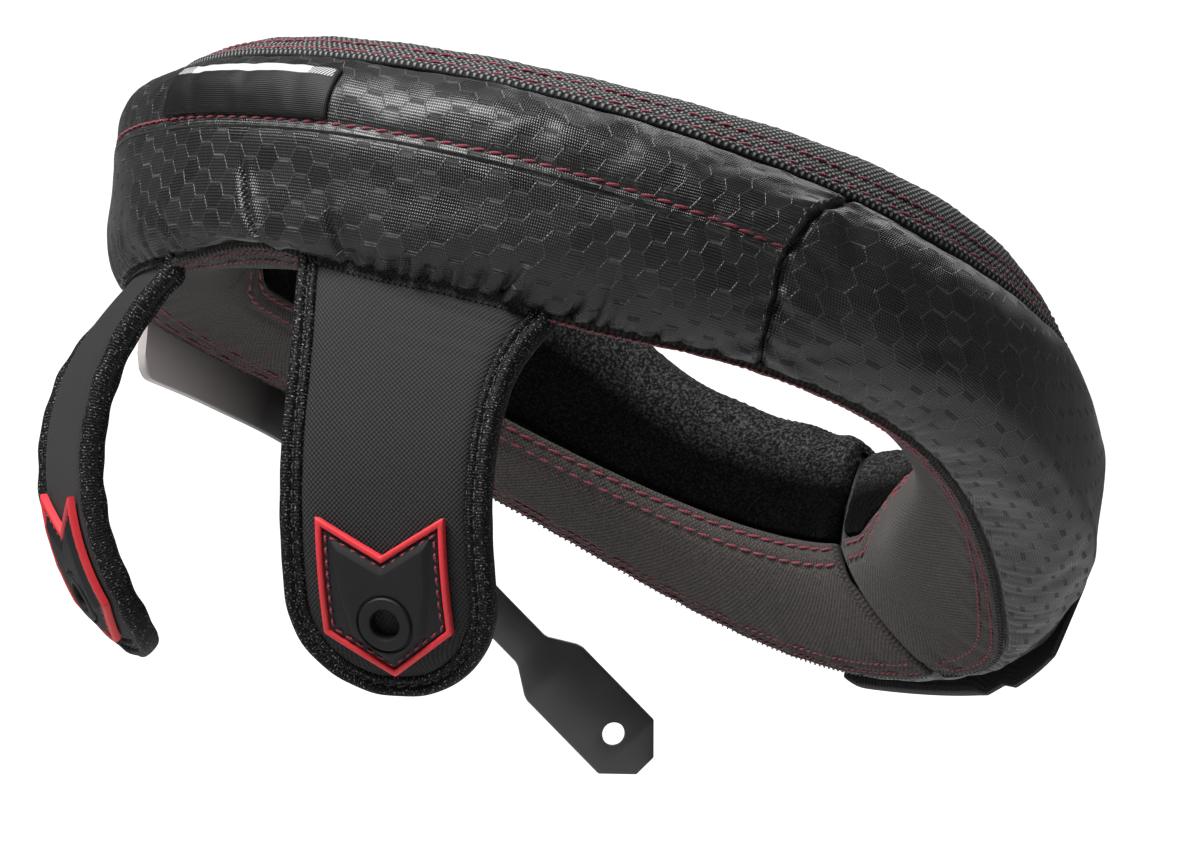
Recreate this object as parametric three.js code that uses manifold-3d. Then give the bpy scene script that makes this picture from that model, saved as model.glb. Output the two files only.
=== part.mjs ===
// Protective neck collar: a padded ring worn round the neck, with two hanging tabs and a mounting strap.
// Millimetres. +Z is the wearer's up, +Y forward and +X to the wearer's right.
// The origin is in the neck opening.
import * as THREE from "three";
import { mergeVertices } from "three/addons/utils/BufferGeometryUtils.js";
import Module from "manifold-3d";

const wasm = await Module();
wasm.setup();

// Driving sizes of the ring
const RING_TILT = 25; // degrees, the front hangs lower than the back
const OVAL = 4; // the ring is this much deeper and this much narrower than a circle
const OPENING_ANGLE = 174; // degrees from the back, towards the wearer's right
const OPENING_GAP = 3; // degrees between the two arm ends
const ARM_SEAM = 77; // degrees from the back to the seam between back pad and arm
const GAP = 0.3; // clearance between neighbouring pieces
const PAD_CLEARANCE = 1.1; // clearance between a pad and the curved panels on it
const COVER = 1.8; // thickness of the top cover
const FLEECE = 3; // thickness of the neck lining with its pile
const UNDERLAY = 2.5; // thickness of the underside panel
const END_ROUND = 8; // degrees over which an arm end is rounded
const END_SHRINK = 0.34; // how far the section has shrunk at the end face
const SEAM_ROUND = 3; // degrees over which a pad dips into a vertical seam
const SEAM_SHRINK = 0.025;
const SEAM_HALF = 0.1; // degrees from a vertical seam to the pads on either side
const STEP = 6; // degrees between the sections of a loft
const BACK_STEP = 4.5; // on the back pad, which is puckered
const CORNER_TURN = 10; // degrees of turn between sections at the rounded ends of the neck lining
const ROUNDED_STATIONS = [0, 0.15, 0.5]; // shares of a rounded end at which it has sections
const NYLON_PLACES = 12; // points up the nylon face
const TOP_PLACES = 6; // points over the top
const LINING_PLACES = 4; // points down the neck lining
const EDGE = 0.0025; // share of the section left free at a panel's edge

// The ring's cross section, once round from the hem. Each row is a line that runs round the collar:
// reach is its mean radius and shift moves it forward. height is its mean height, and lean, saddle and
// sway change that once, twice and three times round, all measured at the back. skew is how many
// degrees the opening is further round at that line.
const LINES = [
  { name: "hem", reach: 122.5, shift: 1, height: -20, lean: 0.5, saddle: -9.5, sway: 2.5, skew: -3 },
  { name: "tuck", reach: 132, shift: 4.5, height: -16, lean: 1, saddle: -9, sway: 1.5, skew: -4 },
  { name: "bulge", reach: 138, shift: 5.5, height: -3, lean: 4, saddle: -7, sway: 0, skew: 1 },
  { name: "stitch", reach: 138.5, shift: 1.5, height: 8.5, lean: 5, saddle: -5.5, sway: 0, skew: 2 },
  { name: "ridge", reach: 135.5, shift: -2, height: 25.5, lean: 0, saddle: -4, sway: 0, skew: 7 },
  { name: "seam", reach: 127, shift: -3, height: 35.5, lean: -3.5, saddle: -2.5, sway: 0, skew: 13 },
  { name: "crown", reach: 116, shift: -2, height: 42.5, lean: 4, saddle: -10, sway: 3, skew: 15 },
  { name: "rim", reach: 106, shift: -2, height: 38.5, lean: 2.5, saddle: -10.5, sway: 2.5, skew: 17.5 },
  { name: "neck", reach: 98, shift: -2, height: 17, lean: -1, saddle: -8, sway: 0, skew: 13.5 },
  { name: "fleece", reach: 97, shift: -2.7, height: -5.5, lean: -2.5, saddle: -6.5, sway: 0, skew: 8 },
  { name: "under", reach: 109, shift: -1, height: -15, lean: -0.5, saddle: -8.5, sway: 1.5, skew: 2 },
];
const SKEW_LENGTH = 40; // degrees from an arm end over which the skew fades
const SEAM_BEND = -7; // degrees by which the arm seam bows back halfway up the pad
const SEAM_BEND_LENGTH = 30; // degrees over which that fades
// Puckers where the back pad is gathered into the hem: a dent at an angle, up to a place on the section
const PUCKERS = [
  { angle: 6, spread: 3.5, depth: 3.5, top: 0.26 },
  { angle: 19, spread: 3, depth: 2.5, top: 0.18 },
  { angle: -8, spread: 3, depth: 2, top: 0.16 },
];
// Places where one line rises or drops: the hem arches up between the tabs and the top is flat at the front
const SWELLS = [
  { line: "hem", angle: 8, spread: 12, lift: 5 },
  { line: "seam", angle: 180, spread: 28, lift: -9 },
  { line: "ridge", angle: 180, spread: 28, lift: -5 },
  { line: "rim", angle: 180, spread: 35, lift: 4 },
];
const place = Object.fromEntries(LINES.map((line, row) => [line.name, row / LINES.length]));
const HEM_AGAIN = 1;

// Where the fleece stops short of the back and the underside panel rises to the rim
const LINING_START = 60; // degrees from the back
const LINING_CORNER = 16; // degrees over which its end is rounded
const LINING_LAP = 0.02; // share of the section between the lining's edge and the corner below it
const LINING_RISE = 0.01; // share of the section that is left of it at its back end

// Hanging tabs
const TAB_LENGTH = 112;
const TAB_HALF_TOP = 32;
const TAB_HALF = 28.5;
const TAB_TAPER = 30; // length over which the top narrows
const TAB_FOLLOW = 70; // length over which the hem's curve fades out of the tab
const TAB_THICK = 5;
const TAB_TOP = 0.3; // the tab starts this far below the hem line
const TAB_DROP_IN = -6; // and its back is this far inside it
const TAB_SOFT = 1.2; // the face is rounded down to its edges by this much
const TAB_FLAT = 0.8; // share of the half width before it does
const TAB_ROWS = 12; // rows down the straight part
const TIP_ROWS = 6; // and round the tip
const TIP_TURN = 78; // degrees
const BINDING_WIDTH = 6.4;
const BINDING_THICK = 6.6;
const BINDING_SIDES = 6;
const BINDING_STEP = 8; // along the edges
const BINDING_TURN = 12; // degrees round the tip
const TABS = [
  { name: "right", angle: 31, startLean: 34, endLean: -33, turn: 0 },
  { name: "left", angle: -25, startLean: 44, endLean: -47, turn: 2 },
];

// Shield on each tab: distances along the tab and half width
const SHIELD = { top: 63, notch: 73, shoulder: 92, tip: 104, half: 17.5, thick: 3 };
const RIM_WIDTH = 1.6;
const RIM_THICK = 3.6;
const SHIELD_LIFT = 0.7; // clearance over the tab's face
const SHIELD_BASE = TAB_DROP_IN + TAB_THICK + SHIELD_LIFT;
const SHIELD_HOLE = { along: 89, bore: 7.8, boss: 14.5, bossFoot: 1, bossThick: 4, depth: 5 };
const SHIELD_COLUMNS = 4; // on each side of the middle
const SHIELD_ROWS = 5;
const BORE_SIDES = 20;

// Blank label on the back pad
const LABEL = { from: -10, to: 18, step: 4, low: 0.03, high: 0.62, rows: 4, thick: 0.8 };

// Mounting strap of flat plastic: a row for each bend. facing is the azimuth its inner face looks to.
const STRAP_THICK = 2.6;
const STRAP_ROUTE = [
  { x: -104, y: -72, z: 5, width: 13, facing: 123 },
  { x: -119.5, y: -36, z: -4.5, width: 12, facing: 105 },
  { x: -123.5, y: -4, z: -17.5, width: 11, facing: 90 },
  { x: -117, y: 22, z: -38, width: 11, facing: 70 },
  { x: -105, y: 47, z: -66, width: 11, facing: 55 },
];
const PADDLE = { neck: 16, shoulder: 9, straight: 29, point: 7.5, width: 21.5, tip: 7, hole: 6.5 };
const PADDLE_HOLE_INSET = 5; // from the end of the straight part
const STRAP_SECTIONS = 16;
const STRAP_BLUNT = 0.6; // share of the width at its hidden end

// Webbing strap that closes the front
const CLOSURE = { from: 156, to: 193, step: 2.5, low: -29, high: -5, offset: 1, tuckIn: 1.5 };
const CLOSURE_THICKNESS = [
  { angle: 156, thick: 1.8, wave: 8 },
  { angle: 160, thick: 1.8, wave: 5 },
  { angle: 165, thick: 2.2, wave: 2 },
  { angle: 168, thick: 2.2, wave: 3.2 },
  { angle: 171, thick: 2.2, wave: 0.6 },
  { angle: 174, thick: 4.6, wave: 1.5 },
  { angle: 191, thick: 4.6, wave: 2.5 },
  { angle: 193, thick: 3, wave: 2.5 },
];

const radians = THREE.MathUtils.degToRad;
const lerp = THREE.MathUtils.lerp;
const clamp = THREE.MathUtils.clamp;
const UP = new THREE.Vector3(0, 0, 1);

function material(color, roughness, metalness = 0) {
  return new THREE.MeshStandardMaterial({ color, roughness, metalness });
}

const nylon = () => material(0x17171a, 0.45);
const ballistic = () => material(0x141416, 0.7);
const fleece = () => material(0x0b0b0c, 0.95);
const neoprene = () => material(0x383230, 0.9);
const binding = () => material(0x0d0d0f, 0.5);
const canvas = () => material(0x2a2a2c, 0.8);
const rubber = () => material(0x111113, 0.6);
const redRubber = () => material(0xc8323c, 0.55);
const plastic = () => material(0x1a1a1b, 0.35);
const webbing = () => material(0x0c0c0d, 0.7);
const labelCloth = () => material(0x1d1d20, 0.6);

// Closed solid through a list of rings, each with the same number of points. It is capped at both ends,
// or runs on from the last ring to the first.
function loft(rings, endless = false) {
  const count = rings[0].length;
  const corners = rings.flat();
  const triangles = [];
  const spans = endless ? rings.length : rings.length - 1;
  for (let row = 0; row < spans; row += 1) {
    const after = (row + 1) % rings.length;
    for (let column = 0; column < count; column += 1) {
      const next = (column + 1) % count;
      const [a, b] = [row * count + column, row * count + next];
      const [c, d] = [after * count + next, after * count + column];
      triangles.push(a, b, c, a, c, d);
    }
  }
  if (!endless) {
    capRing(rings[0], 0, true, triangles);
    capRing(rings[rings.length - 1], (rings.length - 1) * count, false, triangles);
  }
  const geometry = new THREE.BufferGeometry().setFromPoints(corners);
  geometry.setIndex(triangles);
  return facingOut(geometry);
}

// Fills a ring with triangles, laid out flat in its own plane.
function capRing(ring, first, reversed, triangles) {
  const normal = new THREE.Vector3();
  ring.forEach((point, index) => {
    const next = ring[(index + 1) % ring.length];
    normal.add(new THREE.Vector3().crossVectors(point, next));
  });
  normal.normalize();
  const turn = new THREE.Quaternion().setFromUnitVectors(normal, UP);
  const flat = ring.map((point) => {
    const turned = point.clone().applyQuaternion(turn);
    return new THREE.Vector2(turned.x, turned.y);
  });
  for (const [a, b, c] of THREE.ShapeUtils.triangulateShape(flat, [])) {
    const corner = reversed ? [a, c, b] : [a, b, c];
    triangles.push(...corner.map((index) => index + first));
  }
}

// Turns the faces round where a loft came out inside out.
function facingOut(geometry) {
  const position = geometry.getAttribute("position");
  const index = geometry.getIndex().array;
  const [a, b, c] = [new THREE.Vector3(), new THREE.Vector3(), new THREE.Vector3()];
  let volume = 0;
  for (let i = 0; i < index.length; i += 3) {
    a.fromBufferAttribute(position, index[i]);
    b.fromBufferAttribute(position, index[i + 1]);
    c.fromBufferAttribute(position, index[i + 2]);
    volume += a.dot(b.cross(c));
  }
  if (volume < 0) {
    for (let i = 0; i < index.length; i += 3) {
      [index[i + 1], index[i + 2]] = [index[i + 2], index[i + 1]];
    }
  }
  return geometry;
}

function solid(geometry) {
  const bare = geometry.clone();
  bare.deleteAttribute("normal");
  bare.deleteAttribute("uv");
  const merged = mergeVertices(bare);
  const vertProperties = new Float32Array(merged.getAttribute("position").array);
  const triVerts = new Uint32Array(merged.getIndex().array);
  return new wasm.Manifold(new wasm.Mesh({ numProp: 3, vertProperties, triVerts }));
}

function geometryOf(manifold) {
  const mesh = manifold.getMesh();
  const geometry = new THREE.BufferGeometry();
  geometry.setAttribute("position", new THREE.BufferAttribute(mesh.vertProperties, 3));
  geometry.setIndex(new THREE.BufferAttribute(mesh.triVerts, 1));
  return geometry;
}

function named(name, geometry, finish) {
  const mesh = new THREE.Mesh(geometry, finish);
  mesh.name = name;
  return mesh;
}

const LEFT_END = OPENING_ANGLE - 360 + OPENING_GAP / 2;
const RIGHT_END = OPENING_ANGLE - OPENING_GAP / 2;
const fromEnd = (angle) => Math.min(angle - LEFT_END, RIGHT_END - angle);

// Rise of a line at an angle from the back.
function swellOf(line, angle) {
  const swells = SWELLS.filter((swell) => swell.line === line.name);
  return swells.reduce((sum, swell) => {
    const away = THREE.MathUtils.euclideanModulo(angle - swell.angle + 180, 360) - 180;
    return sum + swell.lift * Math.exp(-((away / swell.spread) ** 2));
  }, 0);
}

// A point of one of the ring's lines at an angle from the back.
function linePoint(line, angle) {
  const fade = clamp(1 - fromEnd(angle) / SKEW_LENGTH, 0, 1);
  const turn = radians(angle + line.skew * fade * fade);
  const tilt = line.lean * Math.cos(turn);
  const waves = line.saddle * Math.cos(2 * turn) + line.sway * Math.cos(3 * turn);
  return new THREE.Vector3(
    (line.reach - OVAL) * Math.sin(turn),
    line.shift - (line.reach + OVAL) * Math.cos(turn),
    line.height + tilt + waves + swellOf(line, angle),
  );
}

// How much the section has shrunk near an arm end.
function endShrink(angle) {
  const t = clamp(1 - fromEnd(angle) / END_ROUND, 0, 1);
  return 1 - END_SHRINK * (1 - Math.sqrt(1 - t * t));
}

// The closed section curve at an angle, with its middle and the direction along the ring.
function section(angle, extraShrink = 0) {
  const points = LINES.map((line) => linePoint(line, angle));
  const middle = points.reduce((sum, point) => sum.add(point), new THREE.Vector3());
  middle.divideScalar(points.length);
  const size = endShrink(angle) * (1 - extraShrink);
  points.forEach((point) => point.sub(middle).multiplyScalar(size).add(middle));
  const curve = new THREE.CatmullRomCurve3(points, true, "centripetal");
  const turn = radians(angle);
  const along = new THREE.Vector3(Math.cos(turn), Math.sin(turn), 0);
  return { curve, along };
}

// A point on the section, moved inwards by depth.
function inside({ curve, along }, at, depth) {
  const t = ((at % 1) + 1) % 1;
  const inward = new THREE.Vector3().crossVectors(curve.getTangent(t), along).normalize();
  return curve.getPoint(t).addScaledVector(inward, depth);
}

// Values from one end to the other, about a step apart.
function steps(from, to, step) {
  return spread(from, to, Math.max(1, Math.round(Math.abs(to - from) / step)));
}

// Evenly spaced values, both ends included.
function spread(from, to, count) {
  return Array.from({ length: count + 1 }, (_, index) => lerp(from, to, index / count));
}

// Angles from one end of a piece to the other, closer together where it is rounded off.
function stations(from, to, step, roundFrom = 0, roundTo = 0) {
  const start = roundFrom ? ROUNDED_STATIONS.map((share) => from + share * roundFrom) : [];
  const finish = roundTo ? ROUNDED_STATIONS.map((share) => to - share * roundTo).reverse() : [];
  return [...start, ...steps(from + roundFrom, to - roundTo, step), ...finish];
}

// A skin panel: follows the section between two places and is one thickness deep.
function skin(angles, placesAt, thickness) {
  return loft(
    angles.map((angle) => {
      const here = section(angle);
      const places = placesAt(angle);
      const outer = places.map((at) => inside(here, at, 0));
      const inner = places.map((at) => inside(here, at, thickness)).reverse();
      return [...outer, ...inner];
    }),
  );
}

// Boundary between fleece and underside panel, which rises to the rim towards the back.
function liningEdge(angle) {
  const away = Math.abs(angle > OPENING_ANGLE ? angle - 360 : angle);
  const t = clamp((LINING_START + LINING_CORNER - away) / LINING_CORNER, 0, 1);
  const rise = 1 - Math.sqrt(1 - t * t);
  return lerp(place.fleece - LINING_LAP, place.rim + LINING_RISE, rise);
}

// Depth of the puckers at a place on the pad, deepest halfway up each.
function puckerDepth(angle, at) {
  return PUCKERS.reduce((sum, pucker) => {
    const near = Math.exp(-(((angle - pucker.angle) / pucker.spread) ** 2));
    const up = clamp(at / pucker.top, 0, 1);
    return sum + pucker.depth * near * Math.sin(Math.PI * up);
  }, 0);
}

// A pad: nylon outside from hem to top seam, and foam up to the back of the other panels.
function pad(from, to, atSeams, step) {
  const ends = [from === LEFT_END ? END_ROUND : SEAM_ROUND, to === RIGHT_END ? END_ROUND : SEAM_ROUND];
  return loft(
    stations(from, to, step, ...ends).map((angle) => {
      const seam = atSeams.find((at) => Math.abs(angle - at) < ARM_SEAM) ?? atSeams[0];
      const distance = Math.abs(angle - seam);
      const dip = SEAM_SHRINK * clamp(1 - distance / SEAM_ROUND, 0, 1) ** 2;
      const fade = Math.sign(seam) * clamp(1 - distance / SEAM_BEND_LENGTH, 0, 1);
      const bent = (at) => section(angle + SEAM_BEND * fade * Math.sin((Math.PI * at) / place.seam), dip);
      const here = section(angle, dip);
      const face = spread(place.hem, place.seam, NYLON_PLACES);
      const lower = [place.neck, place.fleece, place.under, HEM_AGAIN];
      const back = [...spread(place.seam, place.rim, TOP_PLACES), ...lower];
      const depthAt = (at) => (at < place.rim ? COVER : Math.max(FLEECE, UNDERLAY)) + PAD_CLEARANCE;
      return [
        ...face.map((at) => inside(bent(at), at, puckerDepth(angle, at))),
        ...back.map((at) => inside(here, at, depthAt(at))),
      ];
    }),
  );
}

function padPieces() {
  const backEnd = ARM_SEAM - SEAM_HALF;
  return [
    named("pad_back", pad(-backEnd, backEnd, [-ARM_SEAM, ARM_SEAM], BACK_STEP), nylon()),
    named("pad_left_arm", pad(LEFT_END, -ARM_SEAM - SEAM_HALF, [-ARM_SEAM], STEP), nylon()),
    named("pad_right_arm", pad(ARM_SEAM + SEAM_HALF, RIGHT_END, [ARM_SEAM], STEP), nylon()),
  ];
}

function coverPieces() {
  const all = stations(LEFT_END, RIGHT_END, STEP, END_ROUND, END_ROUND);
  const liningEnd = LINING_START + LINING_CORNER;
  const corner = steps(90, 0, CORNER_TURN).map((turn) => {
    return liningEnd - LINING_CORNER * Math.sin(radians(turn));
  });
  const leftCorner = corner.map((angle) => -angle).reverse();
  const left = [...stations(LEFT_END, -liningEnd, STEP, END_ROUND), ...leftCorner.slice(1)];
  const right = [...corner.slice(0, -1), ...stations(liningEnd, RIGHT_END, STEP, 0, END_ROUND)];
  const between = steps(-LINING_START, LINING_START, STEP).slice(1, -1);
  const topPlaces = () => spread(place.seam + 2 * EDGE, place.rim - EDGE, TOP_PLACES);
  const liningPlaces = (angle) => spread(place.rim + EDGE, liningEdge(angle) - EDGE, LINING_PLACES);
  const underPlaces = (angle) => [
    ...spread(liningEdge(angle) + EDGE, place.fleece, 2),
    place.under,
    HEM_AGAIN - EDGE,
  ];
  return [
    named("top_cover", skin(all, topPlaces, COVER), ballistic()),
    named("underside_panel", skin([...left, ...between, ...right], underPlaces, UNDERLAY), neoprene()),
    named("neck_lining_left", skin(left, liningPlaces, FLEECE), fleece()),
    named("neck_lining_right", skin(right, liningPlaces, FLEECE), fleece()),
  ];
}

function labelPiece() {
  const low = lerp(place.stitch, place.seam, LABEL.low);
  const high = lerp(place.stitch, place.seam, LABEL.high);
  const rings = steps(LABEL.from, LABEL.to, LABEL.step).map((angle) => {
    const here = section(angle);
    const places = spread(low, high, LABEL.rows);
    const outer = places.map((at) => inside(here, at, -GAP - LABEL.thick));
    const inner = places.map((at) => inside(here, at, -GAP)).reverse();
    return [...outer, ...inner];
  });
  return named("back_label", loft(rings), labelCloth());
}

function closureStrap() {
  const bulge = LINES.find((line) => line.name === "bulge");
  const rows = CLOSURE_THICKNESS;
  const rings = steps(CLOSURE.from, CLOSURE.to, CLOSURE.step).map((angle) => {
    const after = Math.max(1, rows.findIndex((row) => row.angle >= angle));
    const [a, b] = [rows[after - 1], rows[after]];
    const t = (angle - a.angle) / (b.angle - a.angle);
    const thick = lerp(a.thick, b.thick, t);
    const wave = lerp(a.wave, b.wave, t);
    const base = linePoint(bulge, angle).setZ(0);
    const out = new THREE.Vector3(Math.sin(radians(angle)), -Math.cos(radians(angle)), 0);
    const at = (offset, z) => {
      const inwards = (CLOSURE.tuckIn * (CLOSURE.high - z)) / (CLOSURE.high - CLOSURE.low);
      return base.clone().addScaledVector(out, CLOSURE.offset + offset - inwards).setZ(z + wave);
    };
    const round = thick / 3;
    return [
      at(0, CLOSURE.low + round),
      at(round, CLOSURE.low),
      at(thick - round, CLOSURE.low),
      at(thick, CLOSURE.low + round),
      at(thick, CLOSURE.high - round),
      at(thick - round, CLOSURE.high),
      at(round, CLOSURE.high),
      at(0, CLOSURE.high - round),
    ];
  });
  return named("closure_strap", loft(rings), webbing());
}

// A tab's own surface: along runs down the tab, side to its right edge and out from its face.
// Its upper part follows the hem, which curves away and drops across the tab's width.
function tabSurface({ angle, startLean, endLean, turn }) {
  const hem = LINES.find((line) => line.name === "hem");
  const tilt = radians(-RING_TILT);
  const hemPoint = (at) => linePoint(hem, at).applyAxisAngle(new THREE.Vector3(1, 0, 0), tilt);
  const root = hemPoint(angle);
  const outward = new THREE.Vector3(Math.sin(radians(angle + turn)), -Math.cos(radians(angle + turn)), 0);
  const across = new THREE.Vector3(-outward.y, outward.x, 0);
  const [start, finish] = [radians(startLean), radians(endLean)];
  const bend = (finish - start) / TAB_LENGTH;
  return (along, side, out) => {
    const lean = start + bend * along;
    const bow = (Math.cos(start) - Math.cos(lean)) / bend;
    const drop = (Math.sin(lean) - Math.sin(start)) / bend;
    const follow = clamp(1 - along / TAB_FOLLOW, 0, 1) ** 2;
    const hemOffset = hemPoint(angle + THREE.MathUtils.radToDeg(side / hem.reach)).sub(root);
    return root
      .clone()
      .addScaledVector(outward, bow + out * Math.cos(lean) + follow * hemOffset.dot(outward))
      .addScaledVector(UP, -drop + out * Math.sin(lean) + follow * hemOffset.z)
      .addScaledVector(across, side);
  };
}

// Half the tab's width at a distance along it.
function tabHalf(along) {
  const taper = clamp(along / TAB_TAPER, 0, 1);
  const half = lerp(TAB_HALF_TOP, TAB_HALF, Math.sin((taper * Math.PI) / 2));
  const tip = clamp((along - (TAB_LENGTH - TAB_HALF)) / TAB_HALF, 0, 1);
  return half * Math.sqrt(1 - tip * tip);
}

// Rows down a tab's pad, as distance along it and half width inside the binding.
function tabPadRows() {
  const inset = BINDING_WIDTH + GAP;
  const centre = TAB_LENGTH - TAB_HALF;
  const radius = TAB_HALF - inset;
  const sides = spread(TAB_TOP, centre, TAB_ROWS).map((along) => ({ along, half: tabHalf(along) - inset }));
  const tip = spread(0, TIP_TURN, TIP_ROWS).slice(1).map((turn) => ({
    along: centre + radius * Math.sin(radians(turn)),
    half: radius * Math.cos(radians(turn)),
  }));
  return [...sides, ...tip];
}

function tabPad(surface) {
  const low = TAB_DROP_IN;
  const high = TAB_DROP_IN + TAB_THICK;
  const rings = tabPadRows().map(({ along, half }) => [
    surface(along, -half, low),
    surface(along, half, low),
    surface(along, half, high - TAB_SOFT),
    surface(along, half * TAB_FLAT, high),
    surface(along, 0, high + TAB_SOFT / 4),
    surface(along, -half * TAB_FLAT, high),
    surface(along, -half, high - TAB_SOFT),
  ]);
  return loft(rings);
}

// The binding's middle line, down one edge, round the tip and up the other.
function bindingRoute() {
  const centre = TAB_LENGTH - TAB_HALF;
  const radius = TAB_HALF - BINDING_WIDTH / 2;
  const down = steps(TAB_TOP, centre, BINDING_STEP).map((along) => ({
    along,
    side: tabHalf(along) - BINDING_WIDTH / 2,
  }));
  const tip = steps(0, 180, BINDING_TURN).slice(1, -1).map((turn) => ({
    along: centre + radius * Math.sin(radians(turn)),
    side: radius * Math.cos(radians(turn)),
  }));
  const up = down.map(({ along, side }) => ({ along, side: -side })).reverse();
  return [...down, ...tip, ...up];
}

function tabBinding(surface) {
  const route = bindingRoute();
  const middle = TAB_DROP_IN + TAB_THICK / 2;
  const rings = route.map((point, index) => {
    const before = route[Math.max(index - 1, 0)];
    const after = route[Math.min(index + 1, route.length - 1)];
    const [run, rise] = [after.along - before.along, after.side - before.side];
    const length = Math.hypot(run, rise);
    const flat = Math.cos(Math.PI / BINDING_SIDES);
    return Array.from({ length: BINDING_SIDES }, (_, corner) => {
      const turn = ((corner + 0.5) / BINDING_SIDES) * 2 * Math.PI;
      const reach = ((BINDING_WIDTH / 2) * Math.cos(turn)) / flat;
      const out = middle + ((BINDING_THICK / 2) * Math.sin(turn)) / flat;
      const along = point.along + (reach * -rise) / length;
      const side = point.side + (reach * run) / length;
      return surface(along, side, out);
    });
  });
  return loft(rings);
}

// The shield's upper and lower edge at a distance from its middle line, for an outline moved inwards.
const TOP_SLOPE = (SHIELD.notch - SHIELD.top) / SHIELD.half;
const LOW_SLOPE = (SHIELD.tip - SHIELD.shoulder) / SHIELD.half;
const TOP_STRETCH = Math.hypot(1, TOP_SLOPE);
const LOW_STRETCH = Math.hypot(1, LOW_SLOPE);
const shieldTop = (side, inset) => SHIELD.notch - TOP_SLOPE * Math.abs(side) + inset * TOP_STRETCH;
const shieldLow = (side, inset) => SHIELD.tip - LOW_SLOPE * Math.abs(side) - inset * LOW_STRETCH;

function shieldPlate(surface) {
  const inset = RIM_WIDTH + GAP;
  const half = SHIELD.half - inset;
  const rings = spread(-half, half, 2 * SHIELD_COLUMNS).map((side) => {
    const [top, low] = [shieldTop(side, inset), shieldLow(side, inset)];
    const places = spread(top, low, SHIELD_ROWS);
    return [
      ...places.map((along) => surface(along, side, SHIELD_BASE)),
      ...places.map((along) => surface(along, side, SHIELD_BASE + SHIELD.thick)).reverse(),
    ];
  });
  return loft(rings);
}

// The shield's outline as a closed run of points, moved inwards.
function shieldOutline(inset) {
  const half = SHIELD.half - inset;
  const [top, low] = [shieldTop(half, inset), shieldLow(half, inset)];
  const edge = spread(top, low, SHIELD_COLUMNS).slice(1, -1);
  const right = [
    ...spread(0, half, SHIELD_COLUMNS).map((side) => ({ along: shieldTop(side, inset), side })),
    ...edge.map((along) => ({ along, side: half })),
    ...spread(half, 0, SHIELD_COLUMNS).map((side) => ({ along: shieldLow(side, inset), side })),
  ];
  const left = right.slice(1, -1).map(({ along, side }) => ({ along, side: -side }));
  return [...right, ...left.reverse()];
}

function shieldRim(surface) {
  const outer = shieldOutline(0);
  const inner = shieldOutline(RIM_WIDTH);
  const rings = outer.map((point, index) => {
    const edge = inner[index];
    return [
      surface(point.along, point.side, SHIELD_BASE),
      surface(edge.along, edge.side, SHIELD_BASE),
      surface(edge.along, edge.side, SHIELD_BASE + RIM_THICK),
      surface(point.along, point.side, SHIELD_BASE + RIM_THICK),
    ];
  });
  return loft(rings, true);
}

// A cylinder square to the tab's face, between two heights over it.
function boreThrough(surface, along, diameter, from, to) {
  const top = surface(along, 0, to);
  const foot = surface(along, 0, from);
  const axis = top.clone().sub(foot).normalize();
  const drill = new THREE.CylinderGeometry(diameter / 2, diameter / 2, top.distanceTo(foot), BORE_SIDES);
  drill.applyQuaternion(new THREE.Quaternion().setFromUnitVectors(new THREE.Vector3(0, 1, 0), axis));
  const middle = top.add(foot).multiplyScalar(0.5);
  return solid(drill.translate(middle.x, middle.y, middle.z));
}

function tabPieces(tab) {
  const surface = tabSurface(tab);
  const { along, bore, boss, bossFoot, bossThick, depth } = SHIELD_HOLE;
  const bossRing = boreThrough(surface, along, boss, SHIELD_BASE + bossFoot, SHIELD_BASE + bossThick);
  const drill = boreThrough(surface, along, bore, SHIELD_BASE - depth, SHIELD_BASE + bossThick + depth);
  const shield = solid(shieldPlate(surface)).add(bossRing).subtract(drill);
  return [
    named(`tab_${tab.name}_pad`, tabPad(surface), canvas()),
    named(`tab_${tab.name}_binding`, tabBinding(surface), binding()),
    named(`shield_${tab.name}`, geometryOf(shield), rubber()),
    named(`shield_${tab.name}_rim`, shieldRim(surface), redRubber()),
  ];
}

// Outline of the mounting strap's end, as distance along it and half width.
function paddleOutline() {
  const last = STRAP_ROUTE[STRAP_ROUTE.length - 1].width / 2;
  const wide = PADDLE.width / 2;
  const straightEnd = PADDLE.neck + PADDLE.shoulder + PADDLE.straight;
  return [
    { along: PADDLE.neck, half: last },
    { along: PADDLE.neck + PADDLE.shoulder, half: wide },
    { along: straightEnd, half: wide },
    { along: straightEnd + PADDLE.point, half: PADDLE.tip / 2 },
  ];
}

// Directions across the mounting strap and out of its inner face.
function strapFrame(direction, facing) {
  const normal = new THREE.Vector3(Math.sin(radians(facing)), -Math.cos(radians(facing)), 0);
  const wide = new THREE.Vector3().crossVectors(normal, direction).normalize();
  const thick = new THREE.Vector3().crossVectors(direction, wide).normalize();
  return { wide, thick };
}

function strapSection(point, direction, facing, half) {
  const { wide, thick } = strapFrame(direction, facing);
  const corner = (side, out) =>
    point.clone().addScaledVector(wide, side * half).addScaledVector(thick, (out * STRAP_THICK) / 2);
  return [corner(-1, -1), corner(1, -1), corner(1, 1), corner(-1, 1)];
}

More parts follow.
